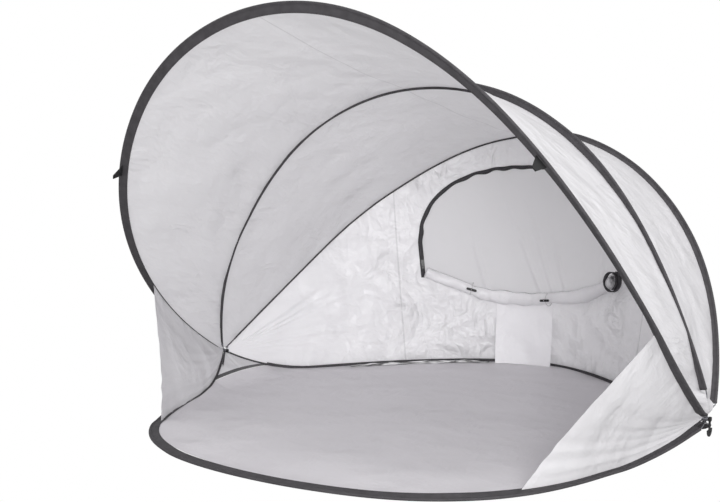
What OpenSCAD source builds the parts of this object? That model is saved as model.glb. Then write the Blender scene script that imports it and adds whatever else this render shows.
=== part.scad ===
// Pop up beach shelter: five spring wire hoops in fabric sleeves, all crossing at two raised corners,
// with a canopy, a back wall with a zipped window, a groundsheet and two front gussets.
// X runs along the corner line, the open front faces -Y, the ground is Z = 0.

/* [Corners] */
// Half the distance between the two corners where the hoops cross
corner_half = 920; // [860:5:980]
// Height of the crossing above the ground
corner_height = 101; // [92:1:112]
// Diameter of the bound core that the wires turn on
lashing_d = 8; // [6:0.5:10]
// Wall of the eye at a wire's end
eye_wall = 3; // [2.5:0.1:4]
// Length of an eye along the corner line
eye_length = 6; // [5:0.5:8]

/* [Front arch] */
// Reach from the corner line to the crown
front_arch_reach = 1422; // [1380:2:1460]
// Half length of the flat crown
front_arch_crown = 455; // [400:5:500]
// Straightness of the legs
front_arch_leg = 1040; // [980:5:1080]
// Angle at which a leg leaves the corner line
front_arch_splay = 87.5; // [84:0.5:92]
// Lean, measured up from the ground in front
front_arch_lean = 54.6; // [52:0.2:58]
// Bow of the legs out of the arch's own plane
front_arch_bow = -167; // [-180:1:-150]

/* [Middle arch] */
// Reach from the corner line to the crown
mid_arch_reach = 978; // [950:2:1000]
// Half length of the flat crown
mid_arch_crown = 512; // [480:5:540]
// Straightness of the legs
mid_arch_leg = 522; // [490:5:550]
// Angle at which a leg leaves the corner line
mid_arch_splay = 99.3; // [96:0.5:102]
// Lean, measured up from the ground in front
mid_arch_lean = 88; // [85:0.5:91]
// Bow of the legs out of the arch's own plane
mid_arch_bow = -65; // [-75:1:-50]

/* [Rear arch] */
// Reach from the corner line to the crown
rear_arch_reach = 1120; // [1095:2:1145]
// Half length of the flat crown
rear_arch_crown = 286; // [260:5:310]
// Straightness of the legs
rear_arch_leg = 898; // [860:5:930]
// Angle at which a leg leaves the corner line
rear_arch_splay = 99.9; // [97:0.5:102]
// Lean, measured up from the ground in front
rear_arch_lean = 133.9; // [131:0.2:136]
// Bow of the legs out of the arch's own plane
rear_arch_bow = 51; // [40:1:60]

/* [Floor edges] */
// Reach of the front floor edge from the corner line
floor_front_reach = 913; // [890:2:935]
// Half length of its straight middle
floor_front_crown = 812; // [780:5:840]
// Straightness of its ends
floor_front_leg = 460; // [430:5:490]
// Angle at which it leaves the corner line
floor_front_splay = 129; // [125:0.5:132]
// Reach of the back floor edge from the corner line
floor_back_reach = 863; // [845:2:885]
// Half length of its straight middle
floor_back_crown = 411; // [390:5:430]
// Straightness of its ends
floor_back_leg = 101; // [90:1:110]
// Angle at which it leaves the corner line
floor_back_splay = 111; // [108:0.5:114]
// Distance from the corner line at which the front floor edge comes down to the ground
floor_front_landing = 330; // [310:5:350]
// The same for the back floor edge
floor_back_landing = 312; // [295:5:330]

/* [Wire and sleeves] */
// Diameter of the spring wire
wire_d = 4; // [3:0.1:4.5]
// Outside diameter of the crimped wire joint
ferrule_d = 6; // [5.5:0.1:7]
// Length of the crimped wire joint
ferrule_length = 40; // [30:1:60]
// Width of a folded sleeve, from the fabric edge to its outer fold
sleeve_width = 33; // [28:0.5:40]
// Thickness of the sleeve tape
tape_t = 0.8; // [0.6:0.1:1.2]
// Distance from the corner at which the front arch sleeve ends
front_sleeve_end = 45; // [40:1:70]
// The same for the middle arch sleeve
mid_sleeve_end = 92; // [80:1:120]
// The same for the rear arch sleeve
rear_sleeve_end = 60; // [50:1:80]
// The same for the two floor sleeves
floor_sleeve_end = 70; // [60:1:90]

/* [Fabric] */
// Thickness of the canopy, wall and gusset sheets
fabric_t = 1.2; // [0.8:0.1:1.6]
// Thickness of the groundsheet
groundsheet_t = 1.2; // [1:0.1:1.6]
// Gap between a sheet's edge and the hoop that it is sewn to
seam_gap = 2.5; // [2.4:0.1:3]
// Distance from the corner at which the sheets end
sheet_end = 75; // [70:1:95]
// Inward sag of the canopy sheets between their hoops
canopy_sag = 16; // [0:1:40]
// Place of the upright seams in the back wall, from the middle
wall_seam = 500; // [480:5:540]
// How far in front of the corner line the groundsheet is divided
floor_division = 40; // [20:1:80]
// Distance behind the corner line at which the groundsheet's side seam leaves the back floor edge
side_seam_back = 160; // [140:2:180]
// Distance in front of the corner line at which it meets the front floor edge
side_seam_front = 170; // [150:2:190]
// Height above the corner line at which a gusset's free edge leaves the front arch
gusset_arch_reach = 495; // [440:5:540]
// Distance in front of the corner line at which it meets the front floor edge
gusset_floor_reach = 653; // [600:5:700]
// Depth of the gussets' folds
gusset_fold = 8; // [0:1:14]
// Number of folds across a gusset
gusset_folds = 3; // [2:1:4]

/* [Window] */
// Half width of the window
window_half = 446; // [420:2:465]
// Half width of the window at its lower corners
window_corner_half = 431; // [400:2:440]
// Height of the window's sill in the middle
window_sill_z = 258; // [250:1:270]
// How much higher the sill is at its ends
window_sill_rise = 122; // [110:1:130]
// How much higher the right end of the sill is than its middle, and the left end lower
window_sill_slant = 22; // [0:1:30]
// How far the zip runs on below the ends of the sill
zip_past_sill = 16; // [10:1:20]
// Height at which the sides turn into the top
window_spring_z = 480; // [460:1:500]
// Height of the top
window_top_z = 788; // [770:1:800]
// Squareness of the top, where 2 is an ellipse
window_square = 2.5; // [2:0.1:3]
// Width of the zip tape
zip_width = 20; // [16:1:26]
// Diameter of the rolled window cover
roll_d = 44; // [38:1:50]
// Turns of the rolled window cover
roll_turns = 2.2; // [1.5:0.1:2.6]
// Thickness of the rolled cloth
roll_cloth_t = 2; // [1.5:0.1:2.5]
// Place of the left toggle, from the middle
toggle_left_x = -263; // [-300:1:-230]
// Place of the right toggle, from the middle
toggle_right_x = 50; // [30:1:90]
// Length of a toggle
toggle_length = 42; // [36:1:50]
// Diameter of a toggle
toggle_d = 10; // [8:0.5:12]
// Diameter of the toggle's elastic cord
toggle_cord_d = 3; // [2.5:0.1:3.5]

/* [Pocket and tabs] */
// Width of the storage pocket
pocket_width = 230; // [200:2:260]
// Height of its open top above the ground
pocket_top_z = 250; // [220:2:255]
// Its middle, measured from the middle of the tent
pocket_x = -60; // [-90:1:-40]
// How far its lower edge hangs away from the wall
pocket_hang = 26; // [10:1:40]
// Width of the peg tab at a corner
peg_tab_width = 44; // [36:1:52]
// Drop from the corner line to the middle of the peg tab's eyelet
peg_tab_drop = 40; // [34:1:44]
// Diameter of the peg tab's eyelet
peg_eyelet_d = 9; // [7:0.5:11]
// Thickness of the peg tab
peg_tab_t = 3; // [2.5:0.1:4]
// Distance of the left guy tab from the corner line
guy_tab_left_reach = 970; // [940:5:1000]
// Distance of the right guy tab from the corner line
guy_tab_right_reach = 1036; // [1010:5:1060]
// Length of a guy tab
guy_tab_length = 45; // [36:1:56]
// Width of a guy tab where it is sewn on
guy_tab_width = 40; // [32:1:50]

/* [Hidden] */
$fn = 48;

// Clearances: between pieces that rest against each other, around a turning core, and around the wire
rest_gap = 0.4;
turning_gap = 0.05;
channel_gap = 0.6;
eye_gap = 0.5;
// How far a sleeve's two tape layers lie apart
layer_gap = 1;

// How far the wall reaches under the zip, and how far a corner panel stops short of a floor edge
window_overlap = 6;
panel_end = 4;
// Radius of the hollow inside the rolled cover
roll_core = 5;

// Sizes that follow from those above
eye_pitch = eye_length + eye_gap;
stack_half = 2.5 * eye_pitch;
wire_r = wire_d / 2;
eye_bore = lashing_d / 2 + turning_gap;
eye_r = eye_bore + eye_wall;
channel_r = ferrule_d / 2 + channel_gap;
sleeve_r = channel_r + tape_t;
wire_out = sleeve_width - sleeve_r;
sleeve_half_t = layer_gap / 2 + tape_t;
floor_sleeve_z = sleeve_r;
floor_layers = floor_sleeve_z - groundsheet_t / 2 - sleeve_half_t;
window_hole_half = window_half - window_overlap;
roll_r = roll_d / 2;
roll_standoff = toggle_cord_d + 4 * rest_gap;
zip_standoff = 3 * rest_gap;
zip_t = 1;
coil_t = 2;
coil_half = 3;

// A hoop is [reach, crown, leg, splay, lean, bow, landing, place of its eye along the corner line,
// distance from the corner at which its sleeve ends]
REACH = 0;
CROWN = 1;
LEG = 2;
SPLAY = 3;
LEAN = 4;
BOW = 5;
LANDING = 6;
EYE = 7;
END = 8;
front_arch = [front_arch_reach, front_arch_crown, front_arch_leg, front_arch_splay,
              front_arch_lean, front_arch_bow, 0, 2 * eye_pitch, front_sleeve_end];
mid_arch = [mid_arch_reach, mid_arch_crown, mid_arch_leg, mid_arch_splay,
            mid_arch_lean, mid_arch_bow, 0, 0, mid_sleeve_end];
rear_arch = [rear_arch_reach, rear_arch_crown, rear_arch_leg, rear_arch_splay,
             rear_arch_lean, rear_arch_bow, 0, -eye_pitch, rear_sleeve_end];
floor_front = [floor_front_reach, floor_front_crown, floor_front_leg, floor_front_splay,
               0, 0, floor_front_landing, eye_pitch, floor_sleeve_end];
floor_back = [floor_back_reach, floor_back_crown, floor_back_leg, floor_back_splay,
              180, 0, floor_back_landing, -2 * eye_pitch, floor_sleeve_end];

// Steps from one ring of a hoop to the next, wide over the crown and close along the legs
crown_step = 1 / 16;
leg_from = 13 * crown_step;
leg_steps = 5;
// Rows of a canopy sheet
sheet_rows = 5;

// General functions

function unit(v) = v / norm(v);
function mix(a, b, k) = a + (b - a) * k;
// Rises smoothly from 0 at a to 1 at b
function ease(a, b, v) = let (k = min(1, max(0, (v - a) / (b - a)))) k * k * (3 - 2 * k);
function cubic(a, b, c, d, t) =
    a * pow(1 - t, 3) + 3 * b * t * pow(1 - t, 2) + 3 * c * t * t * (1 - t) + d * pow(t, 3);
// Span from a to b in n equal steps
function span(a, b, n) = [for (i = [0 : n]) mix(a, b, i / n)];

// The hoops. Along a hoop, s runs from -1 at the left corner over 0 at the crown to 1 at the right corner

// A point as [place along the corner line, distance from it], in the hoop's own plane
function hoop_flat(h, s) =
    let (foot = [corner_half, 0],
         knee = foot + h[LEG] * [cos(h[SPLAY]), sin(h[SPLAY])],
         p = cubic([0, h[REACH]], [h[CROWN], h[REACH]], knee, foot, abs(s)))
    [s < 0 ? -p[0] : p[0], p[1]];

// The direction away from the fabric, in the hoop's own plane
function hoop_outward(h, s) =
    let (t = hoop_flat(h, s + 0.001) - hoop_flat(h, s - 0.001)) unit([-t[1], t[0]]);

// A flat point put in its place: an arch leans and bows, a floor edge comes down to the ground
function place(h, p) =
    h[LANDING] > 0 ?
        let (fall = pow(max(0, 1 - p[1] / h[LANDING]), 2))
        [p[0], h[LEAN] == 0 ? -p[1] : p[1], mix(floor_sleeve_z, corner_height, fall)] :
        let (k = p[1] / h[REACH], off = h[BOW] * 4 * k * (1 - k))
        [p[0],
         -p[1] * cos(h[LEAN]) + off * sin(h[LEAN]),
         corner_height + p[1] * sin(h[LEAN]) + off * cos(h[LEAN])];

function hoop_point(h, s, out = 0) = place(h, hoop_flat(h, s) + out * hoop_outward(h, s));

// The direction away from the fabric, once the hoop is in its place
function hoop_out(h, s) = unit(hoop_point(h, s, 1) - hoop_point(h, s));

// Where a hoop, going from its crown to the right corner, has come down to a distance from the corner line
function s_at_reach(h, r, lo = 0, hi = 1, n = 24) =
    n == 0 ? lo :
    let (m = (lo + hi) / 2)
    hoop_flat(h, m)[1] > r ? s_at_reach(h, r, m, hi, n - 1) : s_at_reach(h, r, lo, m, n - 1);

// Where a hoop has come to a place along the corner line
function s_at_x(h, x, lo = 0, hi = 1, n = 24) =
    n == 0 ? (x < 0 ? -lo : lo) :
    let (m = (lo + hi) / 2)
    hoop_flat(h, m)[0] < abs(x) ? s_at_x(h, x, m, hi, n - 1) : s_at_x(h, x, lo, m, n - 1);

// Marks along a hoop, from near its middle to near the corner. Rings, sheets and outlines all use them, so
// that edges which are sewn together follow each other
function spaced_marks(first) =
    concat([first],
           [for (s = [crown_step : crown_step : leg_from]) s],
           [for (i = [1 : leg_steps]) mix(leg_from, sheet_s, i / leg_steps)],
           [mix(sheet_s, 1, 0.5)]);
// Where the canopy sheets stop
sheet_s = s_at_reach(mid_arch, sheet_end);
ferrule_half = ferrule_length / 2 + 2;
arch_marks = spaced_marks(s_at_x(rear_arch, ferrule_half));
wall_marks = [for (s = arch_marks) hoop_flat(rear_arch, s)[0]];
floor_front_marks = spaced_marks(s_at_x(floor_front, ferrule_half));
floor_back_marks = [for (x = wall_marks) s_at_x(floor_back, x)];
function marks(h) =
    h[LANDING] == 0 ? arch_marks : h[LEAN] == 0 ? floor_front_marks : floor_back_marks;

// The marks from one place to another, with both ends
function marks_between(list, a, b) =
    let (edge = (b - a) * 0.002)
    concat([a], [for (s = list) if (s > a + edge && s < b - edge) s], [b]);
function without_first(list) = [for (i = [1 : len(list) - 1]) list[i]];
function marks_to(h, s_end) = without_first(marks_between(marks(h), 0, s_end));
function reversed(list) = [for (i = [len(list) - 1 : -1 : 0]) list[i]];
function both_sides(list) = concat(-reversed(list), list);

// Solids made of rings and grids of points

// A tube or bar through a list of rings with equally many points. In a thin wall, the second half of each
// ring runs back along the inside, and is split into triangles the other way, to match the outside
module swept(rings, thin = false) {
    n = len(rings[0]);
    last = len(rings) - 1;
    half = thin ? n / 2 : n;
    cap = thin ? [for (i = [0 : half - 2]) each [[i, i + 1, n - 2 - i], [i, n - 2 - i, n - 1 - i]]]
               : [[for (i = [0 : n - 1]) i]];
    polyhedron([for (r = rings) each r],
        [each cap,
         for (f = cap) reversed([for (i = f) last * n + i]),
         for (j = [0 : last - 1], i = [0 : n - 1])
             let (a = j * n + i, b = j * n + (i + 1) % n)
             each i < half ? [[a, a + n, b + n], [a, b + n, b]] : [[a, a + n, b], [b, a + n, b + n]]]);
}

// A thin sheet between a grid of points and the matching grid on its other side.
// With loop set, each row is a closed loop, so the sheet has a hole
module sheet(near, far, loop = false) {
    rows = len(near);
    cols = len(near[0]);
    back = rows * cols;
    seams = loop ? cols - 1 : cols - 2;
    function at(i, j) = i * cols + j % cols;
    edge = loop ? [] : concat(
        [for (j = [0 : cols - 2]) [at(0, j), at(0, j + 1)]],
        [for (i = [0 : rows - 2]) [at(i, cols - 1), at(i + 1, cols - 1)]],
        [for (j = [cols - 1 : -1 : 1]) [at(rows - 1, j), at(rows - 1, j - 1)]],
        [for (i = [rows - 1 : -1 : 1]) [at(i, 0), at(i - 1, 0)]]);
    rims = loop ? concat(
        [for (j = [0 : cols - 1]) [at(0, j), at(0, j + 1)]],
        [for (j = [0 : cols - 1]) [at(rows - 1, j + 1), at(rows - 1, j)]]) : edge;
    polyhedron(concat([for (r = near) each r], [for (r = far) each r]),
        [for (i = [0 : rows - 2], j = [0 : seams])
             let (a = at(i, j), b = at(i, j + 1), c = at(i + 1, j + 1), d = at(i + 1, j))
             each [[a, b, c], [a, c, d], [back + a, back + c, back + b], [back + a, back + d, back + c]],
         for (e = rims) each [[e[0], back + e[0], back + e[1]], [e[0], back + e[1], e[1]]]]);
}

// Wires, with a bored eye at each end that turns on the corner's bound core

// The wire's path: at the eye it stands square to the corner line, further on it lies in the outer fold of
// the sleeve
function wire_point(h, s) =
    let (r = mix(eye_bore + eye_wall / 2, h[REACH], hoop_flat(h, s)[1] / h[REACH]),
         side = s < 0 ? -1 : 1,
         eye = place(h, [side * (corner_half + h[EYE]), r]),
         run = hoop_point(h, s) + wire_out * hoop_out(h, s))
    mix(eye, run, ease(2 * eye_r, h[END], r));

module hoop_wire(h, sides = 6) {
    function at(s) = wire_point(h, s);
    ends = 6;
    s_end = s_at_reach(h, h[END]);
    bend = [for (i = [1 : ends]) mix(s_end, 1, i / ends)];
    swept([for (s = both_sides(concat(marks_to(h, s_end), bend)))
        let (o = at(s),
             t = unit(at(min(1, s + 0.002)) - at(max(-1, s - 0.002))),
             u = unit(cross(t, [0, cos(h[LEAN] + 90), sin(h[LEAN] + 90)])),
             v = cross(t, u))
        [for (k = [0 : sides - 1]) o + wire_r * (cos(360 * k / sides) * u + sin(360 * k / sides) * v)]]);
    for (side = [-1, 1])
        translate([side * (corner_half + h[EYE]), 0, corner_height])
            rotate([0, 90, 0])
                difference() {
                    cylinder(h = eye_length, r = eye_r, center = true);
                    cylinder(h = eye_length + 1, r = eye_bore, center = true);
                }
}

module front_arch_wire() { color("dimgray") hoop_wire(front_arch); }
module mid_arch_wire() { color("dimgray") hoop_wire(mid_arch); }
module rear_arch_wire() { color("dimgray") hoop_wire(rear_arch); }
module floor_front_wire() { color("dimgray") hoop_wire(floor_front); }
module floor_back_wire() { color("dimgray") hoop_wire(floor_back); }

// The crimped joint that closes a wire into a ring, at the middle of a floor edge
module ferrule(h) {
    p = wire_point(h, marks(h)[0]);
    translate([0, p[1], p[2]])
        rotate([0, 90, 0])
            difference() {
                cylinder(h = ferrule_length, d = ferrule_d, center = true);
                cylinder(h = ferrule_length + 1, r = wire_r + channel_gap / 2, center = true);
            }
}

module floor_front_ferrule() { color("silver") ferrule(floor_front); }
module floor_back_ferrule() { color("silver") ferrule(floor_back); }

// Sleeves: a tape folded round the wire, its two layers sewn to the sheets along the hoop

// Section as [distance out from the fabric edge, distance from the middle of the tape]
function sleeve_section(shift) =
    let (neck = wire_out - sleeve_r - abs(shift),
         g = layer_gap / 2,
         o = sleeve_half_t,
         turn = span(110, -110, 5))
    concat([[0, shift + o], [neck, shift + o]],
           [for (a = turn) [wire_out + sleeve_r * cos(a), sleeve_r * sin(a)]],
           [[neck, shift - o], [0, shift - o], [0, shift - g], [neck, shift - g]],
           [for (a = reversed(turn)) [wire_out + channel_r * cos(a), channel_r * sin(a)]],
           [[neck, shift + g], [0, shift + g]]);

module sleeve(h, shift = 0) {
    section = sleeve_section(shift);
    swept([for (s = both_sides(marks_to(h, s_at_reach(h, h[END]))))
        let (o = hoop_point(h, s),
             out = hoop_out(h, s),
             t = unit(hoop_point(h, s + 0.002) - hoop_point(h, s - 0.002)),
             w = unit(cross(out, t)))
        [for (q = section) o + q[0] * out + q[1] * w]], thin = true);
}

module front_arch_sleeve() { color([0.28, 0.27, 0.28]) sleeve(front_arch); }
module mid_arch_sleeve() { color([0.28, 0.27, 0.28]) sleeve(mid_arch); }
module rear_arch_sleeve() { color([0.28, 0.27, 0.28]) sleeve(rear_arch); }
module floor_front_sleeve() { color([0.3, 0.29, 0.3]) sleeve(floor_front, -floor_layers); }
module floor_back_sleeve() { color([0.3, 0.29, 0.3]) sleeve(floor_back, floor_layers); }

// Canopy sheets, each stretched between two arches

// A point of the sheet: v runs from 0 at arch a to 1 at arch b, and the middle sags towards the inside
function canopy_point(a, b, s, v) =
    let (p = hoop_point(a, s),
         q = hoop_point(b, s),
         gap = seam_gap / norm(q - p),
         middle = mix(p, q, mix(gap, 1 - gap, v)),
         inside = unit([0, 0, corner_height] - middle))
    middle + canopy_sag * (1 - pow(2 * v - 1, 2)) * (1 - s * s) * inside;

// Grid of a sheet and its unit normals, from neighbouring points
module canopy(a, b) {
    s_end = min(s_at_reach(a, sheet_end), s_at_reach(b, sheet_end));
    function at(s, v) = canopy_point(a, b, s, v);
    function normal(s, v) =
        unit(cross(at(s + 0.01, v) - at(s - 0.01, v), at(s, v + 0.02) - at(s, v - 0.02)));
    columns = both_sides(marks_to(a, s_end));
    vs = span(0, 1, sheet_rows);
    function row(v, t) = [for (s = columns) at(s, v) + t * normal(s, v)];
    sheet([for (v = vs) row(v, -fabric_t / 2)], [for (v = vs) row(v, fabric_t / 2)]);
}

module front_canopy() { color([0.78, 0.77, 0.78]) canopy(front_arch, mid_arch); }
module rear_canopy() { color([0.8, 0.79, 0.8]) canopy(mid_arch, rear_arch); }

// Back wall, straight up from the back floor edge to the rear arch in every cross section

function wall_foot(x) = hoop_point(floor_back, s_at_x(floor_back, x));
function wall_head(x) = hoop_point(rear_arch, s_at_x(rear_arch, x));
function wall_top_z(x) = wall_head(x)[2] - seam_gap;
wall_bottom_z = groundsheet_t + rest_gap;

// Level direction out through the wall
function wall_outward(x, y) = unit([x, y, 0]);

// A point of the wall at a height, moved in by a distance
function wall_point(x, z, inward = 0) =
    let (a = wall_foot(x), b = wall_head(x),
         y = mix(a[1], b[1], (z - a[2]) / (b[2] - a[2])),
         p = [x, y, z])
    p - (rest_gap + fabric_t + inward) * wall_outward(x, y);

// A sheet from a grid of [x, z], lying on the wall at a distance inside it
module wall_sheet(grid, t = fabric_t, inward = 0, loop = false) {
    sheet([for (row = grid) [for (q = row) wall_point(q[0], q[1], inward - t)]],
          [for (row = grid) [for (q = row) wall_point(q[0], q[1], inward)]], loop);
}

// Side of the wall, from the upright seam to near the corner
module back_wall_side(side) {
    x_end = hoop_flat(floor_back, s_at_reach(floor_back, sheet_end))[0];
    columns = marks_between(wall_marks, wall_seam + rest_gap, x_end);
    wall_sheet([for (v = span(0, 1, 4))
        [for (x = side > 0 ? columns : -reversed(columns))
            let (low = max(wall_bottom_z, wall_foot(x)[2] + seam_gap))
            [x, mix(low, wall_top_z(x), v)]]]);
}

module back_wall_left() { color([0.9, 0.89, 0.9]) back_wall_side(-1); }
module back_wall_right() { color([0.82, 0.81, 0.82]) back_wall_side(1); }

// Window outline, as heights over a place x
function window_top(x) =
    window_spring_z + (window_top_z - window_spring_z)
        * pow(max(0, 1 - pow(abs(x) / window_half, window_square)), 1 / window_square);
function window_sill(x) =
    let (k = x / window_corner_half)
    window_sill_z + window_sill_rise * k * k + window_sill_slant * k;
// Height of the zip's lower end, on the left or on the right
function zip_end_z(side) = window_sill(side * window_corner_half) - zip_past_sill;

// Middle of the wall as a frame round the window: each loop is a mix of the hole and the outer edge
wall_middle_half = wall_seam - rest_gap;
wall_middle_xs = both_sides(without_first(marks_between(wall_marks, 0, wall_middle_half)));
window_xs = wall_middle_xs * window_hole_half / wall_middle_half;

module back_wall_centre() {
    side_parts = 4;
    function down(x, top, low) = [for (i = [1 : side_parts - 1]) [x, mix(top, low, i / side_parts)]];
    function frame(xs, tops, lows) =
        let (last = len(xs) - 1)
        concat([for (i = [0 : last]) [xs[i], tops[i]]],
               down(xs[last], tops[last], lows[last]),
               [for (i = [last : -1 : 0]) [xs[i], lows[i]]],
               down(xs[0], lows[0], tops[0]));
    hole = frame(window_xs, [for (x = window_xs) window_top(x)], [for (x = window_xs) window_sill(x)]);
    outer = frame(wall_middle_xs, [for (x = wall_middle_xs) wall_top_z(x)],
                  [for (x = wall_middle_xs) wall_bottom_z]);
    color([0.88, 0.87, 0.88])
        wall_sheet([for (k = span(0, 1, 3)) [for (i = [0 : len(hole) - 1]) mix(hole[i], outer[i], k)]],
                   loop = true);
}

// The mesh is the window's hole drawn a little smaller
module window_mesh() {
    middle = [0, window_spring_z];
    share = 1 - 2 * rest_gap / (window_top_z - window_spring_z);
    color([0.7, 0.69, 0.7])
        wall_sheet([for (v = span(0, 1, 5))
            [for (x = window_xs) mix(middle, [x, mix(window_sill(x), window_top(x), v)], share)]]);
}

// The zip runs up one side of the window, over the top and down the other side
function zip_outline(k) =
    let (side = k < 0 ? -1 : 1, a = abs(k))
    a > 0.75 ?
        let (d = (a - 0.75) / 0.25)
        [side * mix(window_half, window_corner_half, d), mix(window_spring_z, zip_end_z(side), d)] :
        let (angle = 90 * a / 0.75)
        [side * window_half * pow(sin(angle), 2 / window_square),
         window_spring_z + (window_top_z - window_spring_z) * pow(cos(angle), 2 / window_square)];

function zip_along(k) = unit(zip_outline(min(1, k + 0.01)) - zip_outline(max(-1, k - 0.01)));

module window_zip() {
    half = zip_width / 2;
    core = coil_half - zip_t / 2;
    rim = coil_half + zip_t / 2;
    top = zip_t + coil_t;
    section = [[-half, zip_t], [-coil_half, zip_t], [-coil_half, top],
               [coil_half, top], [coil_half, zip_t], [half, zip_t],
               [half, 0], [rim, 0], [core, 0], [-core, 0], [-rim, 0], [-half, 0]];
    color([0.2, 0.2, 0.21])
        swept([for (k = span(-1, 1, 40))
            let (p = zip_outline(k), t = zip_along(k), across = [t[1], -t[0]])
            [for (q = section)
                let (at = p + q[0] * across)
                wall_point(at[0], at[1], zip_standoff + q[1])]], thin = true);
}

// Puts its children on the wall: X along the wall, Y up the wall, Z into the tent
module on_wall(x, z, inward = 0, turn = 0) {
    p = wall_point(x, z, inward);
    along = wall_point(x + 1, z, inward) - wall_point(x - 1, z, inward);
    up = wall_point(x, z + 1, inward) - wall_point(x, z - 1, inward);
    heading = atan2(along[1], along[0]);
    lean = atan2(-up[1] * cos(heading) + up[0] * sin(heading), up[2]);
    translate(p)
        rotate([90 + lean, 0, heading])
            rotate([0, 0, turn])
                children();
}

// Slider on the left side of the zip: a body that straddles the coil, and a hanging pull
module zip_slider() {
    slider_gap = 1;
    body_w = 4 * coil_half;
    body_l = 18;
    body_t = coil_t + 3;
    pull_w = 8;
    pull_l = 26;
    pull_t = 1.5;
    run = window_spring_z - zip_end_z(-1);
    lean = atan2(window_half - window_corner_half, run);
    above_roll = roll_d + body_l;
    start_z = zip_end_z(-1) + above_roll;
    start_x = -mix(window_corner_half, window_half, above_roll / run);
    color("black")
        on_wall(start_x, start_z, zip_standoff + zip_t + slider_gap, lean) {
            difference() {
                translate([-body_w / 2, -body_l / 2, 0]) cube([body_w, body_l, body_t]);
                translate([-coil_half - slider_gap, -body_l, -1])
                    cube([2 * (coil_half + slider_gap), 2 * body_l, coil_t + 1]);
            }
            translate([0, -pull_l / 2, body_t])
                linear_extrude(pull_t)
                    difference() {
                        square([pull_w, pull_l], center = true);
                        translate([0, -pull_l / 2 + pull_w]) circle(d = pull_w / 2);
                    }
        }
}

// The window cover, rolled down to the sill: a sheet wound in a spiral, drawn along the sill
function roll_centre(x) = wall_point(x, window_sill(x) + roll_r / 2, roll_r + roll_standoff);
function roll_along(x) = unit(roll_centre(x + 2) - roll_centre(x - 2));

module window_cover_roll() {
    n = 26;
    angles = span(90, 90 + 360 * roll_turns, n);
    radii = span(roll_r, roll_core, n);
    function wound(i, t) = (radii[i] - t) * [cos(angles[i]), sin(angles[i])];
    section = concat([for (i = [0 : n]) wound(i, 0)], [for (i = [n : -1 : 0]) wound(i, roll_cloth_t)]);
    half = window_corner_half - roll_r / 2;
    color([0.9, 0.89, 0.9])
        swept([for (x = span(half, -half, 14))
            let (t = roll_along(x), a = unit(cross(t, [0, 0, 1])), b = cross(a, t))
            [for (q = section) roll_centre(x) + q[0] * a + q[1] * b]], thin = true);
}

// Puts its children at the roll: X along the roll, Y into the tent
module at_roll(x) {
    t = roll_along(x);
    translate(roll_centre(x))
        rotate([0, 0, atan2(t[1], t[0])])
            rotate([0, -asin(t[2]), 0])
                mirror([0, 1, 0])
                    children();
}

// Elastic loops round the roll, each with a stem that its toggle turns on
loop_r = roll_r + 2 * rest_gap + toggle_cord_d / 2;
toggle_out = loop_r + toggle_cord_d / 2 + rest_gap + toggle_d / 2;

module toggle_loops() {
    stem_end = 2;
    stem = toggle_out - loop_r + toggle_d / 2 + stem_end;
    color("black")
        for (x = [toggle_left_x, toggle_right_x])
            at_roll(x) {
                rotate([0, 90, 0]) rotate_extrude() translate([loop_r, 0]) circle(d = toggle_cord_d);
                translate([0, loop_r, 0])
                    rotate([-90, 0, 0]) cylinder(h = stem, d = toggle_cord_d);
            }
}

// A barrel with round ends, bored for its cord
module toggle(x) {
    color("black")
        at_roll(x)
            translate([0, toggle_out, 0])
                difference() {
                    union() {
                        rotate([0, 90, 0])
                            cylinder(h = toggle_length - toggle_d, d = toggle_d, center = true);
                        for (side = [-1, 1])
                            translate([side * (toggle_length - toggle_d) / 2, 0, 0]) sphere(d = toggle_d);
                    }
                    rotate([90, 0, 0])
                        cylinder(h = 2 * toggle_d, d = toggle_cord_d + 2 * turning_gap, center = true);
                }
}

module toggle_left() { toggle(toggle_left_x); }
module toggle_right() { toggle(toggle_right_x); }

// Pocket on the inside of the wall, sewn on along its top and hanging free below
module storage_pocket() {
    half = pocket_width / 2;
    function at(x, z, inward) =
        wall_point(x, z, fabric_t + 3 * rest_gap + inward + pocket_hang * (1 - z / pocket_top_z));
    function side_at(inward) = [for (z = span(wall_bottom_z, pocket_top_z, 5))
        [for (x = span(pocket_x - half, pocket_x + half, 6)) at(x, z, inward)]];
    color([0.86, 0.85, 0.86]) sheet(side_at(-fabric_t), side_at(0));
}

// Front gussets between the front arch and the front floor edge, with a straight free edge
module gusset(side) {
    arch_end = s_at_reach(front_arch, gusset_arch_reach);
    floor_end = s_at_reach(floor_front, gusset_floor_reach);
    arch_start = s_at_reach(front_arch, sheet_end);
    floor_start = s_at_reach(floor_front, sheet_end);
    function at(k, v) =
        let (p = hoop_point(front_arch, side * mix(arch_start, arch_end, k)),
             q = hoop_point(floor_front, side * mix(floor_start, floor_end, k)),
             gap = seam_gap / norm(q - p))
        mix(p, q, mix(gap, 1 - 2 * gap, v));
    function normal(k, v) =
        unit(cross(at(k + 0.02, v) - at(k - 0.02, v), at(k, v + 0.02) - at(k, v - 0.02)));
    // Folds that fan out from the corner, flat along both hoops
    function fold(k, v) = gusset_fold * k * sin(180 * v) * sin(360 * gusset_folds * v);
    columns = [for (s = marks_between(arch_marks, arch_end, arch_start))
        (s - arch_start) / (arch_end - arch_start)];
    function row(v, t) = [for (k = reversed(columns)) at(k, v) + (fold(k, v) + t) * normal(k, v)];
    vs = span(0, 1, 12);
    color([0.87, 0.86, 0.87])
        sheet([for (v = vs) row(v, -fabric_t / 2)], [for (v = vs) row(v, fabric_t / 2)]);
}

module gusset_left() { gusset(-1); }
module gusset_right() { gusset(1); }

// Groundsheet, in two halves divided near the corner line

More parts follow.
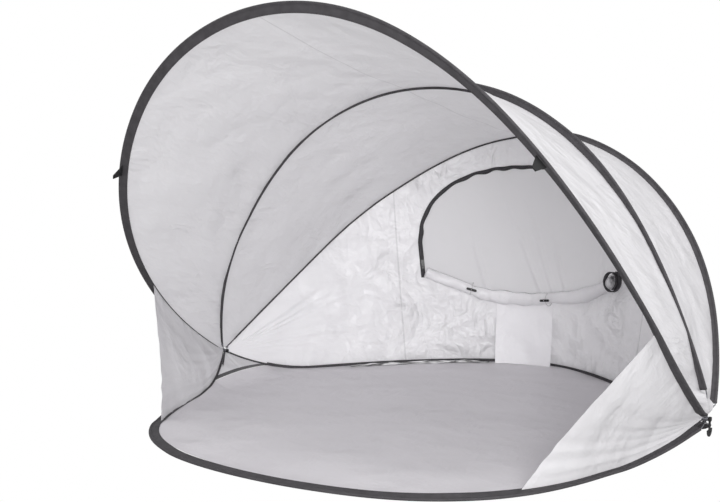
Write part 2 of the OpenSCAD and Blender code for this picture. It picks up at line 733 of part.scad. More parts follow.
// Half width of the groundsheet at a distance y behind the corner line, along the straight side seam
function edge_x(h, r) = hoop_flat(h, s_at_reach(h, r))[0] - rest_gap;
function seam_x(y) =
    mix(edge_x(floor_front, side_seam_front), edge_x(floor_back, side_seam_back),
        (y + side_seam_front) / (side_seam_front + side_seam_back));

// Right half of the outline along a floor edge, from the middle of the edge to the side seam
function floor_outline(h, seam_reach) =
    [for (s = marks_to(h, s_at_reach(h, seam_reach))) hoop_flat(h, s) - rest_gap * hoop_outward(h, s)];

module groundsheet(points) {
    left = [for (p = reversed(points)) [-p[0], p[1]]];
    color([0.71, 0.7, 0.71]) linear_extrude(groundsheet_t) polygon(concat(points, left));
}

module groundsheet_front() {
    edge = [for (p = floor_outline(floor_front, side_seam_front)) [p[0], -p[1]]];
    inner_y = -floor_division - rest_gap / 2;
    groundsheet(concat(edge, [[seam_x(inner_y), inner_y]]));
}

module groundsheet_rear() {
    inner_y = -floor_division + rest_gap / 2;
    groundsheet(concat(floor_outline(floor_back, side_seam_back), [[seam_x(inner_y), inner_y]]));
}

// Corner panels, sloping up from the groundsheet's side seam to the rising floor edges
module corner_panel(side, from_y, to_y) {
    low_z = groundsheet_t + rest_gap;
    function top(y) =
        let (h = y > 0 ? floor_back : floor_front,
             p = hoop_point(h, s_at_reach(h, abs(y))),
             under_eye = corner_height - eye_r - rest_gap)
        [p[0] - 2 * rest_gap - fabric_t, y, min(p[2] - sleeve_r - rest_gap, under_eye)];
    function at(y, v) =
        let (low = [seam_x(y) - fabric_t, y, low_z], high = top(y))
        mix(low, [high[0], y, max(high[2], low_z + 2)], v);
    ys = span(from_y, to_y, 6);
    function row(v, out) = [for (y = ys) let (p = at(y, v) + [out, 0, 0]) [side * p[0], p[1], p[2]]];
    color([0.76, 0.75, 0.76])
        if (side > 0) sheet([row(0, 0), row(0.5, 0), row(1, 0)],
                            [row(0, fabric_t), row(0.5, fabric_t), row(1, fabric_t)]);
        else sheet([row(0, fabric_t), row(0.5, fabric_t), row(1, fabric_t)],
                   [row(0, 0), row(0.5, 0), row(1, 0)]);
}

module corner_panels_front() {
    for (side = [-1, 1]) corner_panel(side, panel_end - side_seam_front, -floor_division - rest_gap / 2);
}

module corner_panels_rear() {
    for (side = [-1, 1]) corner_panel(side, rest_gap / 2 - floor_division, side_seam_back - panel_end);
}

// The bound core of a crossing, along the corner line, with a collar at each end
lashing_inner = corner_half - stack_half;
lashing_outer = corner_half + stack_half + peg_tab_t + 2 * rest_gap;
collar_t = 2.5;

module corner_lashing(side) {
    core = lashing_d / 2;
    color("black")
        translate([side * lashing_inner, 0, corner_height])
            rotate([0, side * 90, 0])
                rotate_extrude()
                    polygon([[0, -collar_t], [eye_r, -collar_t], [eye_r, 0], [core, 0],
                             [core, lashing_outer - lashing_inner], [eye_r, lashing_outer - lashing_inner],
                             [eye_r, lashing_outer - lashing_inner + collar_t],
                             [0, lashing_outer - lashing_inner + collar_t]]);
}

module corner_lashing_left() { corner_lashing(-1); }
module corner_lashing_right() { corner_lashing(1); }

// Peg tab that hangs from the crossing: a strap with a round eye, and a D of webbing with an eyelet
module peg_tab(side) {
    middle = corner_half + stack_half + rest_gap + peg_tab_t / 2;
    strap_w = 2 * eye_r;
    d_middle = peg_eyelet_d - peg_tab_drop;
    color("black")
        translate([side * middle, 0, corner_height])
            rotate([90, 0, 90])
                translate([0, 0, -peg_tab_t / 2])
                    linear_extrude(peg_tab_t)
                        difference() {
                            union() {
                                circle(r = eye_r);
                                translate([-strap_w / 2, -peg_tab_drop]) square([strap_w, peg_tab_drop]);
                                intersection() {
                                    translate([0, d_middle]) circle(d = peg_tab_width);
                                    translate([-peg_tab_width / 2, d_middle - peg_tab_width])
                                        square([peg_tab_width, peg_tab_width]);
                                }
                            }
                            circle(r = eye_bore);
                            translate([0, -peg_tab_drop]) circle(d = peg_eyelet_d);
                        }
}

module peg_tab_left() { peg_tab(-1); }
module peg_tab_right() { peg_tab(1); }

// Guy tabs, folded webbing triangles sewn to the face of the front arch sleeve
module guy_tab(side) {
    s = side * s_at_reach(front_arch, side < 0 ? guy_tab_left_reach : guy_tab_right_reach);
    face = sleeve_half_t + rest_gap;
    inset = wire_out - sleeve_r - peg_tab_t - rest_gap;
    half = guy_tab_width / 2;
    tip = guy_tab_width / 6;
    // The sleeve is straight from one mark to the next, and the tab lies on that straight part
    lo = side * max([for (m = arch_marks) if (m <= abs(s)) m]);
    hi = side * min([for (m = arch_marks) if (m > abs(s)) m]);
    a = hoop_point(front_arch, lo);
    b = hoop_point(front_arch, hi);
    o = mix(a, b, (s - lo) / (hi - lo));
    out = unit(hoop_point(front_arch, s, 1) - hoop_point(front_arch, s));
    t = side * unit(b - a);
    forward = unit(cross(t, out));
    function at(along, up, fore) = o + along * t + (up + inset) * out + (fore + face) * forward;
    function side_at(up) = [[at(-half, up, 0), at(half, up, 0)],
                            [at(-tip, up, guy_tab_length), at(tip, up, guy_tab_length)]];
    sheet(side_at(peg_tab_t), side_at(0));
}

module guy_tabs() { color("black") for (side = [-1, 1]) guy_tab(side); }

front_arch_wire();
mid_arch_wire();
rear_arch_wire();
floor_front_wire();
floor_back_wire();
floor_front_ferrule();
floor_back_ferrule();
front_arch_sleeve();
mid_arch_sleeve();
rear_arch_sleeve();
floor_front_sleeve();
floor_back_sleeve();
front_canopy();
rear_canopy();
back_wall_left();
back_wall_centre();
back_wall_right();
window_mesh();
window_zip();
zip_slider();
window_cover_roll();
toggle_loops();
toggle_left();
toggle_right();
storage_pocket();
gusset_left();
gusset_right();
groundsheet_front();
groundsheet_rear();
corner_panels_front();
corner_panels_rear();
corner_lashing_left();
corner_lashing_right();
peg_tab_left();
peg_tab_right();
guy_tabs();
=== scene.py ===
import math

import bpy
import numpy as np
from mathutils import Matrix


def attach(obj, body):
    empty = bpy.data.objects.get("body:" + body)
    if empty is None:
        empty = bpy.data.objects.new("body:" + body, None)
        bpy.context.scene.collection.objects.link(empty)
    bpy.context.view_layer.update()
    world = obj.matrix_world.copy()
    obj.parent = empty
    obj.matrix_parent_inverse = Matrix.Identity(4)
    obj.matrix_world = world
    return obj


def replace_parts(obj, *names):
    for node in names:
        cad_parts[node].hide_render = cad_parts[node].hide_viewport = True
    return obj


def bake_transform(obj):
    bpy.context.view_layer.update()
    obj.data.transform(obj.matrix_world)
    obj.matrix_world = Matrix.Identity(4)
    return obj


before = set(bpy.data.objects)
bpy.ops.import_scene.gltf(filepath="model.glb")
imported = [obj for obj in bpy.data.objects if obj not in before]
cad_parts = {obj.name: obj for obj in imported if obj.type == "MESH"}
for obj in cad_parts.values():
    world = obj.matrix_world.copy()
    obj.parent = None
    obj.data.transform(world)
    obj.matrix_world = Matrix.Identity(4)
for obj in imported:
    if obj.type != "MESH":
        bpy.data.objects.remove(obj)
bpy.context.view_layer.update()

# The camera stands to the right of the open front at about chest height, with a long lens.
# Its place and direction were fitted to the outlines of the hoops in the photo.
scene = bpy.context.scene
camera = bpy.data.objects.new("camera", bpy.data.cameras.new("camera"))
scene.collection.objects.link(camera)
camera.location = (1.98825, -3.45826, 1.00473)
camera.rotation_euler = (math.pi / 2 - 0.11625, 0, 0.58453)
camera.data.sensor_width = 36
camera.data.lens = 60.05
scene.camera = camera
scene.view_settings.view_transform = "Standard"

# The spring wire hoops: three arches and two floor edges that cross at the two side corners.
# The wire is steel, it runs inside the sleeves and shows only where it leaves them at a corner.
CORNER_X, CORNER_Z = 0.920, 0.101
FLOOR_WIRE_Z = 0.0044
# In s: how far each small bend of a wire reaches, and how near a corner the bends die out
BEND_REACH, BEND_END = 0.07, 0.015


def hoop(reach, crown, leg, splay, lean, bow=0.0, landing=0.0, bends=((-1, 0), (1, 0))):
    """Line of one hoop, as a function of s and out, with s from -1 at the left corner to 1 at the right.

    Half a hoop is a cubic curve from its crown to the corner in the hoop's own plane, moved out along
    its own normal. An arch then leans and bows; a floor edge comes down to the ground within landing.
    bends are the small ways in which the real wire leaves that curve: millimetres out at some s.
    """
    turn, tilt = math.radians(splay), math.radians(lean)
    c = np.array([[0, reach], [crown, reach],
                  [CORNER_X + leg * math.cos(turn), leg * math.sin(turn)], [CORNER_X, 0]])
    at, away = np.array(bends, float).T

    def point(s, out=0.0, bent=True):
        s, out = np.broadcast_arrays(np.asarray(s, float), np.asarray(out, float))
        if bent:
            near = np.exp(-(((s[..., None] - at) / BEND_REACH) ** 2)) + 1e-9
            free = np.clip((1 - np.abs(s)) / BEND_END, 0, 1)
            out = out + 0.001 * (near * away).sum(-1) / near.sum(-1) * free
        t = np.abs(s)[..., None]
        p = c[0] * (1 - t) ** 3 + 3 * c[1] * t * (1 - t) ** 2 + 3 * c[2] * t**2 * (1 - t) + c[3] * t**3
        d = (c[1] - c[0]) * (1 - t) ** 2 + 2 * (c[2] - c[1]) * t * (1 - t) + (c[3] - c[2]) * t**2
        n = np.stack([-d[..., 1], d[..., 0]], -1)
        x, r = np.moveaxis(p + out[..., None] * n / np.linalg.norm(n, axis=-1, keepdims=True), -1, 0)
        x = np.where(s < 0, -x, x)
        if landing:
            fall = np.clip(1 - r / landing, 0, None) ** 2
            return np.stack([x, r if lean else -r, FLOOR_WIRE_Z + (CORNER_Z - FLOOR_WIRE_Z) * fall], -1)
        off = 4 * bow * (r / reach) * (1 - r / reach)
        return np.stack([x, off * math.sin(tilt) - r * math.cos(tilt),
                         CORNER_Z + r * math.sin(tilt) + off * math.cos(tilt)], -1)

    return point


front_arch = hoop(reach=1.422, crown=0.455, leg=1.040, splay=87.5, lean=54.6, bow=-0.167, bends=(
    (-1, 0), (-0.7, 0), (-0.6, -1), (-0.5, 0.5), (-0.4, 3), (-0.3, 4), (-0.2, 3.5), (-0.1, 4), (0, 5), (0.1, 6),
    (0.2, 6), (0.3, 4.5), (0.4, 4), (0.5, 3), (0.6, 3.5), (0.7, 4), (0.8, 0), (0.9, -9), (0.95, -15), (1, -18)))
mid_arch = hoop(reach=0.978, crown=0.512, leg=0.522, splay=99.3, lean=88.0, bow=-0.065, bends=(
    (-1, 0), (-0.93, 3), (-0.86, 3.5), (-0.8, 1), (-0.73, -6), (-0.6, -13), (-0.5, -12), (-0.4, -7), (-0.3, -4),
    (-0.2, -5), (-0.1, -4), (0, -4), (0.1, -3), (0.2, 0), (0.3, 2), (0.4, 6.5), (0.5, 7), (0.6, 5.5), (0.7, 3),
    (0.8, 0), (1, 0)))
rear_arch = hoop(reach=1.120, crown=0.286, leg=0.898, splay=99.9, lean=133.9, bow=0.051, bends=(
    (-1, 0), (-0.93, -6), (-0.85, -10), (-0.78, -8), (-0.7, -1), (-0.6, -4), (-0.5, -12), (-0.4, -11), (-0.3, -8),
    (-0.2, -5), (0, -1), (0.3, 1), (0.5, 1.5), (0.6, 4), (0.7, 7), (0.8, 6), (0.9, 2.5), (1, 0)))
floor_front = hoop(reach=0.913, crown=0.812, leg=0.460, splay=129.0, lean=0.0, landing=0.330, bends=(
    (-1, 0), (-0.6, 4), (-0.3, 10), (-0.1, 15), (0, 15), (0.1, 9), (0.2, 9), (0.3, 9), (0.4, 14), (0.5, 17),
    (0.6, 16), (0.7, 10), (0.8, 6), (0.9, 8), (1, 0)))
floor_back = hoop(reach=0.863, crown=0.411, leg=0.101, splay=111.0, lean=180.0, landing=0.312)


def unit(v):
    """Vectors made one long."""
    return v / np.linalg.norm(v, axis=-1, keepdims=True)


def run(points):
    """Length along a line of points, counted from its first."""
    return np.append(0, np.cumsum(np.linalg.norm(np.diff(points, axis=0), axis=1)))


def s_at(line, value, axis):
    """The s between crown and right corner where a coordinate of a hoop has a value, by reading a table."""
    s = np.linspace(0, 1, 4001)
    v = line(s)[:, axis]
    order = np.argsort(v)
    return np.interp(value, v[order], s[order])


def s_near_corner(line, distance):
    """The s at which a hoop has come within a distance of the right corner, counted along the hoop."""
    s = np.linspace(0, 1, 4001)
    steps = np.linalg.norm(np.diff(line(s), axis=0), axis=1)
    left = np.append(np.cumsum(steps[::-1])[::-1], 0)
    return np.interp(-distance, -left, s)


def material(name, colour, roughness, **sockets):
    """A plain surface: a colour as the eye sees it (0 to 1), a roughness, and other inputs by name."""
    m = bpy.data.materials.new(name)
    m.use_nodes = True
    shader = m.node_tree.nodes["Principled BSDF"]
    shader.inputs["Base Color"].default_value = (*(np.asarray(colour) ** 2.2), 1)
    shader.inputs["Roughness"].default_value = roughness
    for key, value in sockets.items():
        shader.inputs[key].default_value = value
    return m


# Width of a folded sleeve, radius of the tube along its fold, and half the thickness of the two layers
SLEEVE_WIDTH, TUBE_R, LAYER = 0.033, 0.0044, 0.0011


def bent_wire(node, line, body):
    """The part's own wire, moved out or in by as much as its hoop is bent at the nearest s."""
    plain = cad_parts[node]
    mesh = plain.data.copy()
    p = np.empty(len(mesh.vertices) * 3)
    mesh.vertices.foreach_get("co", p)
    p = p.reshape(-1, 3)
    s = np.linspace(-1, 1, 801)
    smooth, bent = line(s, SLEEVE_WIDTH - TUBE_R, bent=False), line(s, SLEEVE_WIDTH - TUBE_R)
    nearest = np.argmin(((p[:, None] - smooth[None]) ** 2).sum(-1), 1)
    mesh.vertices.foreach_set("co", (p + (bent - smooth)[nearest]).ravel())
    o = bpy.data.objects.new(node + "_bent", mesh)
    scene.collection.objects.link(o)
    mesh.materials.clear()
    mesh.materials.append(steel)
    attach(o, body)
    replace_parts(o, node)


steel = material("spring_steel", (0.55, 0.55, 0.57), roughness=0.35, Metallic=1.0)
bent_wire("front_arch_wire", front_arch, "front_arch")
bent_wire("mid_arch_wire", mid_arch, "mid_arch")
bent_wire("rear_arch_wire", rear_arch, "rear_arch")
bent_wire("floor_front_wire", floor_front, "front_floor")
bent_wire("floor_front_ferrule", floor_front, "front_floor")


def paint(surface, *nodes):
    """Gives solids of the part a surface."""
    for name in nodes:
        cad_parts[name].data.materials.clear()
        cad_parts[name].data.materials.append(surface)


paint(steel, "floor_back_wire", "floor_back_ferrule")

# The sleeves: dark grey woven tape folded round the wire, so that each stands out from the fabric
# like a fin with a thin tube along its outer fold. Its inner edge is sewn to the fabric.


def adder(tree):
    """A short way to add a node to a tree, with its inputs set or linked."""

    def add(kind, inputs=(), **settings):
        n = tree.nodes.new(kind)
        for key, value in settings.items():
            setattr(n, key, value)
        for key, value in dict(inputs).items():
            if isinstance(value, bpy.types.NodeSocket):
                tree.links.new(value, n.inputs[key])
            else:
                n.inputs[key].default_value = value
        return n

    return add


def grid_object(name, p, uv, surface, closed=False):
    """A smooth sheet through a grid of points, rows by columns, with its cloth sizes as UV in metres."""
    rows, cols = p.shape[:2]
    i = np.arange(rows * cols).reshape(rows, cols)
    u = np.arange(rows * uv.shape[1]).reshape(rows, uv.shape[1])
    if closed:
        i = np.concatenate([i, i[:, :1]], 1)
    corners = [(slice(None, -1), slice(None, -1)), (slice(None, -1), slice(1, None)),
               (slice(1, None), slice(1, None)), (slice(1, None), slice(None, -1))]
    faces = np.stack([i[c] for c in corners], -1).reshape(-1, 4)
    loops = np.stack([u[c] for c in corners], -1).reshape(-1)
    mesh = bpy.data.meshes.new(name)
    mesh.from_pydata(p.reshape(-1, 3).tolist(), [], faces.tolist())
    mesh.uv_layers.new(name="cloth").uv.foreach_set("vector", uv.reshape(-1, 2)[loops].astype(np.float32).ravel())
    mesh.shade_smooth()
    mesh.materials.append(surface)
    o = bpy.data.objects.new(name, mesh)
    scene.collection.objects.link(o)
    return o


def tape_material(name, colour):
    """Woven tape: the colour, mottled a little, with a fine rib along it."""
    m = material(name, colour, roughness=0.75, **{"Specular IOR Level": 0.3})
    tree, add = m.node_tree, adder(m.node_tree)
    shader = tree.nodes["Principled BSDF"]
    uv = add("ShaderNodeUVMap", uv_map="cloth")
    part = add("ShaderNodeSeparateXYZ", {"Vector": uv.outputs["UV"]})
    tone_noise = add("ShaderNodeTexNoise", {"Vector": uv.outputs["UV"], "Scale": 38.0, "Detail": 4.0})
    dark, light = np.asarray(colour) * 0.80, np.asarray(colour) * 1.20
    ramp = add("ShaderNodeMix", {"Factor": tone_noise.outputs["Fac"]}, data_type="RGBA")
    ramp.inputs["A"].default_value = (*dark**2.2, 1)
    ramp.inputs["B"].default_value = (*light**2.2, 1)
    tree.links.new(ramp.outputs["Result"], shader.inputs["Base Color"])
    rib = add("ShaderNodeMath", {0: part.outputs["Y"], 1: 2 * math.pi / 0.0016}, operation="MULTIPLY")
    wave = add("ShaderNodeMath", {0: rib.outputs[0]}, operation="SINE")
    both = add("ShaderNodeMath", {0: tone_noise.outputs["Fac"], 1: 6.0, 2: wave.outputs[0]}, operation="MULTIPLY_ADD")
    bump = add("ShaderNodeBump", {"Height": both.outputs[0], "Strength": 0.35, "Distance": 0.0004})
    tree.links.new(bump.outputs["Normal"], shader.inputs["Normal"])
    return m


tape = tape_material("sleeve_tape", (0.26, 0.253, 0.263))
# How far each tape slants off its hoop's plane at its sewn edge: s, and millimetres there
SLANT = {
    front_arch: ((-1, 0.15, 0.3, 0.4, 0.5, 0.6, 0.7, 0.8, 0.9, 1), (0, 0, -5, -8, -10.5, -13, -14, -15, -5, 0)),
    mid_arch: ((-1, 1), (0, 0)),
    rear_arch: ((-1, 1), (0, 0)),
    floor_front: ((-1, -0.5, 0, 0.15, 0.3, 0.4, 0.5, 0.6, 1), (-4, -5, -5, -6, -9, -8, -5, -1, 0)),
    floor_back: ((-1, 1), (-2.2, -2.2)),
}


# The s nearest to a corner at which the direction of a hoop is taken
S_LAST = 0.9995


def tape_at(line, s, w, layer=0.0):
    """A point on a hoop's tape, w out from its sewn edge and layer off its middle.

    The tape hangs on the tube at its outer fold and slants off the hoop's plane as the cloth pulls it,
    by so many millimetres at its sewn edge.
    """
    c = np.clip(s, -S_LAST, S_LAST)
    o = line(s)
    out = unit(line(c, 1e-4) - line(c))
    t = unit(line(c + 4e-4) - line(c - 4e-4))
    side = np.cross(t, out)
    wire = SLEEVE_WIDTH - TUBE_R
    off = np.interp(s, SLANT[line][0], np.array(SLANT[line][1]) / 1000)[..., None]
    d = (np.sqrt(wire**2 - off**2) * out - off * side) / wire
    return o + wire * out + (np.asarray(w) - wire)[..., None] * d + np.asarray(layer)[..., None] * np.cross(t, d)


# The narrow tape inside the cloth: its shares of a sleeve's width and thickness, and where it stops
INNER_WIDTH, INNER_THICK, INNER_END = 0.33, 0.3, 0.014


def sleeve(name, line, end, body):
    """A sleeve: the folded tape's section swept along its hoop, with soft ripples where the stitches pull.

    Past its end the wire leaves it, and only the narrow tape inside the cloth runs on to the corner.
    """
    stop, tip = s_near_corner(line, end), s_near_corner(line, INNER_END)
    tail = np.append(stop + 3e-4, np.linspace(stop, tip, 24)[1:])
    s = np.concatenate([-tail[::-1], np.linspace(-stop, stop, 420), tail])
    past = (np.abs(s) > stop)[:, None]
    along = run(line(s))
    wire = SLEEVE_WIDTH - TUBE_R
    a = np.radians(np.linspace(128, -128, 13))
    flat = np.linspace(0, wire - 1.1 * TUBE_R, 6)
    q = np.concatenate([np.stack([flat, np.full(6, LAYER)], 1),
                        np.stack([wire + TUBE_R * np.cos(a), TUBE_R * np.sin(a)], 1),
                        np.stack([flat[::-1], np.full(6, -LAYER)], 1)])
    near_edge = np.clip(1 - q[:, 0] / wire, 0, 1)
    ripple = 0.0011 * np.sin(along / 0.013 + 1.7 * np.sin(along / 0.09)) * np.sin(along / 0.041)
    spread = np.repeat(s[:, None], len(q), 1)
    p = tape_at(line, spread, q[None, :, 0] * np.where(past, INNER_WIDTH, 1),
                q[None, :, 1] * np.where(past, INNER_THICK, 1) + ripple[:, None] * np.sin(math.pi * near_edge))
    uv = np.stack(np.broadcast_arrays(along[:, None], run(np.vstack([q, q[:1]]))[None]), -1)
    piece = grid_object(name, p, uv, tape, closed=True)
    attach(piece, body)
    return piece


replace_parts(sleeve("front_sleeve", front_arch, end=0.040, body="front_arch"), "front_arch_sleeve")
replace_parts(sleeve("mid_sleeve", mid_arch, end=0.092, body="mid_arch"), "mid_arch_sleeve")
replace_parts(sleeve("rear_sleeve", rear_arch, end=0.060, body="rear_arch"), "rear_arch_sleeve")
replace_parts(sleeve("floor_front_edge", floor_front, end=0.034, body="front_floor"), "floor_front_sleeve")
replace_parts(sleeve("floor_back_edge", floor_back, end=0.060, body="rear_floor"), "floor_back_sleeve")

# The canopy: two sheets of thin silver grey polyester, sewn into the sleeves and stretched between
# the arches. The sleeves' inner edges show inside as dark bands, and light shines through a little.
CANOPY_SAG, CANOPY_SEAM, CANOPY_END = 0.016, -0.065, 0.010


def sewn_at(line):
    """How far out on its tape a hoop's cloth is sewn, as a function of s, from a short table.

    The rest of the tape, towards the inside, shows inside the tent as a dark band along the seam.
    """
    table = {
        front_arch: ((-1, -0.97, 0.97, 1), (0, 5, 5, 0)),
        mid_arch: ((-1, -0.985, -0.94, -0.9, -0.82, -0.76, -0.7, -0.6, -0.5, -0.4, -0.3, -0.2, 0, 0.15,
                    0.3, 0.4, 0.5, 0.6, 0.7, 0.79, 0.83, 0.86, 0.9, 0.944, 0.952, 0.985, 1),
                   (5, 9, 10, 11, 11, 6, 6, 8, 9, 9, 6, 8, 8, 8, 8, 7, 11, 18, 19, 26, 27, 21, 14, 10, 27, 22, 0)),
        rear_arch: ((-1, -0.985, -0.95, 0, 0.2, 0.7, 0.85, 0.93, 0.972, 0.98, 0.99, 1),
                    (4, 6, 7, 7, 10, 11, 14, 13, 11, 26, 20, 0)),
    }[line]
    return lambda s: np.interp(s, table[0], np.array(table[1]) / 1000)


def crinkle_group():
    """Shared height of crumpled cloth, from the cloth's own sizes: broad soft hills, facets that meet at
    sharp edges, thin creases where a noise crosses its middle, some of them drawn out, and a fine grain."""
    g = bpy.data.node_groups.new("crinkle", "ShaderNodeTree")
    g.interface.new_socket("Cloth", in_out="INPUT", socket_type="NodeSocketVector")
    g.interface.new_socket("Amount", in_out="INPUT", socket_type="NodeSocketFloat")
    g.interface.new_socket("Normal", in_out="OUTPUT", socket_type="NodeSocketVector")
    add = adder(g)
    give, take = add("NodeGroupInput"), add("NodeGroupOutput")
    cloth = give.outputs["Cloth"]
    warp = add("ShaderNodeTexNoise", {"Vector": cloth, "Scale": 5.0})
    push = add("ShaderNodeVectorMath", {0: warp.outputs["Color"], 1: (0.12, 0.12, 0.12), 2: cloth},
               operation="MULTIPLY_ADD")
    drawn = add("ShaderNodeMapping", {"Vector": push.outputs[0], "Rotation": (0, 0, 0.9), "Scale": (1, 0.25, 1)})
    total = 0.0
    for kind, scale, weight, place in (
        ("hills", 4.5, 1.0, push), ("facets", 7.0, 0.55, push), ("facets", 17.0, 0.20, push),
        ("creases", 22.0, 0.5, drawn), ("creases", 27.0, 0.25, push), ("hills", 90.0, 0.05, push),
    ):
        if kind == "facets":
            h = add("ShaderNodeTexVoronoi", {"Vector": place.outputs[0], "Scale": scale}).outputs["Distance"]
        else:
            h = add("ShaderNodeTexNoise", {"Vector": place.outputs[0], "Scale": scale, "Detail": 1.5}).outputs["Fac"]
        if kind == "creases":
            centre = add("ShaderNodeMath", {0: h, 1: 0.5}, operation="SUBTRACT")
            h = add("ShaderNodeMath", {0: centre.outputs[0]}, operation="ABSOLUTE").outputs[0]
        total = add("ShaderNodeMath", {0: h, 1: weight, 2: total}, operation="MULTIPLY_ADD").outputs[0]
    patch = add("ShaderNodeTexNoise", {"Vector": cloth, "Scale": 3.2})
    share = add("ShaderNodeMapRange", {"Value": patch.outputs["Fac"], "From Min": 0.35, "From Max": 0.68,
                                       "To Min": 0.3, "To Max": 1.15})
    uneven = add("ShaderNodeMath", {0: total, 1: share.outputs["Result"]}, operation="MULTIPLY")
    bump = add("ShaderNodeBump", {"Height": uneven.outputs[0], "Strength": 1.0, "Distance": give.outputs["Amount"]})
    g.links.new(bump.outputs["Normal"], take.inputs["Normal"])
    return g


crinkle = crinkle_group()
# Half the width of a stitched seam in the cloth, how dark it shows, and the colour of tape that binds an edge
SEAM_HALF, SEAM_SHADE, BOUND_COLOUR = 0.0025, 0.22, (0.075, 0.073, 0.077, 1)


def cloth_material(name, colour, crinkled, through, roughness=0.5, bound=None, seam=None, calm=None):
    """Thin coated cloth: a colour, crumpled by an amount, that lets a share of the light through.

    bound is the v up to which dark tape binds it. seam is the distance at which stitched seams run on both
    sides of u = 0, for a cloth that isn't bound. calm gives the distances from u = 0 between which the
    crumples die down to a third.
    """
    m = material(name, colour, roughness, **{"Specular IOR Level": 0.4})
    tree, add = m.node_tree, adder(m.node_tree)
    shader = tree.nodes["Principled BSDF"]
    uv = add("ShaderNodeUVMap", uv_map="cloth")
    part = add("ShaderNodeSeparateXYZ", {"Vector": uv.outputs["UV"]})
    away = add("ShaderNodeMath", {0: part.outputs["X"]}, operation="ABSOLUTE")
    if calm is not None:
        crinkled = add("ShaderNodeMapRange", {"Value": away.outputs[0], "From Min": calm[0], "From Max": calm[1],
                                              "To Min": crinkled, "To Max": crinkled / 3}).outputs["Result"]
    rough = add("ShaderNodeGroup", {"Cloth": uv.outputs["UV"], "Amount": crinkled}, node_tree=crinkle)
    tree.links.new(rough.outputs["Normal"], shader.inputs["Normal"])
    base = (*(np.asarray(colour) ** 2.2), 1)
    glow = add("ShaderNodeBsdfTranslucent", {"Color": base, "Normal": rough.outputs["Normal"]})
    mask = None
    if bound is not None:
        mask = add("ShaderNodeMath", {0: part.outputs["Y"], 1: bound}, operation="LESS_THAN")
    elif seam is not None:
        line = add("ShaderNodeMath", {0: away.outputs[0], 1: seam, 2: SEAM_HALF}, operation="COMPARE")
        mask = add("ShaderNodeMath", {0: line.outputs[0], 1: SEAM_SHADE}, operation="MULTIPLY")
    share = through
    if mask is not None:
        tint = add("ShaderNodeMix", {"Factor": mask.outputs[0]}, data_type="RGBA")
        tint.inputs["A"].default_value = base
        tint.inputs["B"].default_value = BOUND_COLOUR
        tree.links.new(tint.outputs["Result"], shader.inputs["Base Color"])
        clear = add("ShaderNodeMath", {0: 1.0, 1: mask.outputs[0]}, operation="SUBTRACT")
        share = add("ShaderNodeMath", {0: clear.outputs[0], 1: through}, operation="MULTIPLY").outputs[0]
    mixed = add("ShaderNodeMixShader", {"Fac": share, 1: shader.outputs[0], 2: glow.outputs[0]})
    tree.links.new(mixed.outputs[0], tree.nodes["Material Output"].inputs["Surface"])
    return m


def waves(a, b, seed, count, size, height):
    """Soft random ripples over two sizes of the cloth: a sum of sine waves of about one length, all ways."""
    rng = np.random.default_rng(seed)
    k = 2 * math.pi / (size * rng.uniform(0.7, 1.6, count))
    angle, phase = rng.uniform(0, 2 * math.pi, (2, count))
    f = np.sin(a[..., None] * k * np.cos(angle) + b[..., None] * k * np.sin(angle) + phase)
    return height * f.sum(-1) / math.sqrt(count)


def cloth_area(p):
    """Area of the cloth through a grid of points, from the diagonals of its cells."""
    d, e = p[1:, 1:] - p[:-1, :-1], p[1:, :-1] - p[:-1, 1:]
    return float(np.linalg.norm(np.cross(d, e), axis=-1).sum() / 2)


def canopy(name, a, b, seed, node):
    """A canopy sheet: straight lines between two hoops, sagging a little, with faint waves."""
    stop = s_near_corner(a, CANOPY_END)
    s, v = np.meshgrid(np.linspace(-stop, stop, 361), np.linspace(0, 1, 61))
    p, q = tape_at(a, s, sewn_at(a)(s)), tape_at(b, s, sewn_at(b)(s))
    across = np.linalg.norm(q - p, axis=-1)
    along = np.cumsum(np.append(np.zeros((len(s), 1)), np.linalg.norm(np.diff(p, axis=1), axis=-1), 1), 1)
    at = p + (q - p) * v[..., None]
    inside = unit(np.array([0, 0, CORNER_Z]) - at)
    free = 4 * v * (1 - v)
    soft = waves(along, across * v, seed, count=9, size=0.34, height=0.0035)
    soft = soft + waves(along, across * v, seed + 1, count=12, size=0.13, height=0.0012)
    at = at + ((CANOPY_SAG * (1 - s**2) + soft) * free)[..., None] * inside
    seam = int(np.argmin(np.abs(s[0] - CANOPY_SEAM)))
    o = grid_object(name, at, np.stack([along - along[:, seam:seam + 1], across * v], -1), canopy_cloth)
    middle = s.shape[1] // 2
    at[0, middle]
    at[-1, middle]
    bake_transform(o)
    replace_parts(o, node)
    cloth_area(at)


canopy_cloth = cloth_material("canopy_cloth", (0.86, 0.855, 0.865), crinkled=0.015, through=0.26, roughness=0.45,
                              seam=0.0)
canopy("front_canopy_cloth", front_arch, mid_arch, 3, "front_canopy")
canopy("rear_canopy_cloth", mid_arch, rear_arch, 11, "rear_canopy")

# The bindings: narrow dark tape inside along both floor edges near each corner, where wall, corner panels
# and gussets are sewn to them.


def binding(name, line, body, width, near, far):
    """The binding at both ends of a hoop: a strip across the hoop's line, arched a little, between two
    distances from the corner."""
    s = np.linspace(s_near_corner(line, far), s_near_corner(line, near), 60)
    for sign in (-1, 1):
        o = line(sign * s)
        inward = unit(o - line(sign * s, 1e-4))
        side = np.cross(unit(np.gradient(o, axis=0)), inward)
        k = np.linspace(-1, 1, 7)
        p = o[:, None] + (0.5 * width * k)[None, :, None] * side[:, None]
        p = p + (0.002 + 0.003 * (1 - k**2))[None, :, None] * inward[:, None]
        uv = np.stack(np.broadcast_arrays(run(o)[:, None], (width * k / 2)[None]), -1)
        piece = grid_object("%s_%s" % (name, "left" if sign < 0 else "right"), p, uv, tape)
        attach(piece, body)


binding("floor_back_binding", floor_back, "rear_floor", width=0.008, near=0.004, far=0.24)
binding("floor_front_binding", floor_front, "front_floor", width=0.011, near=0.004, far=0.10)

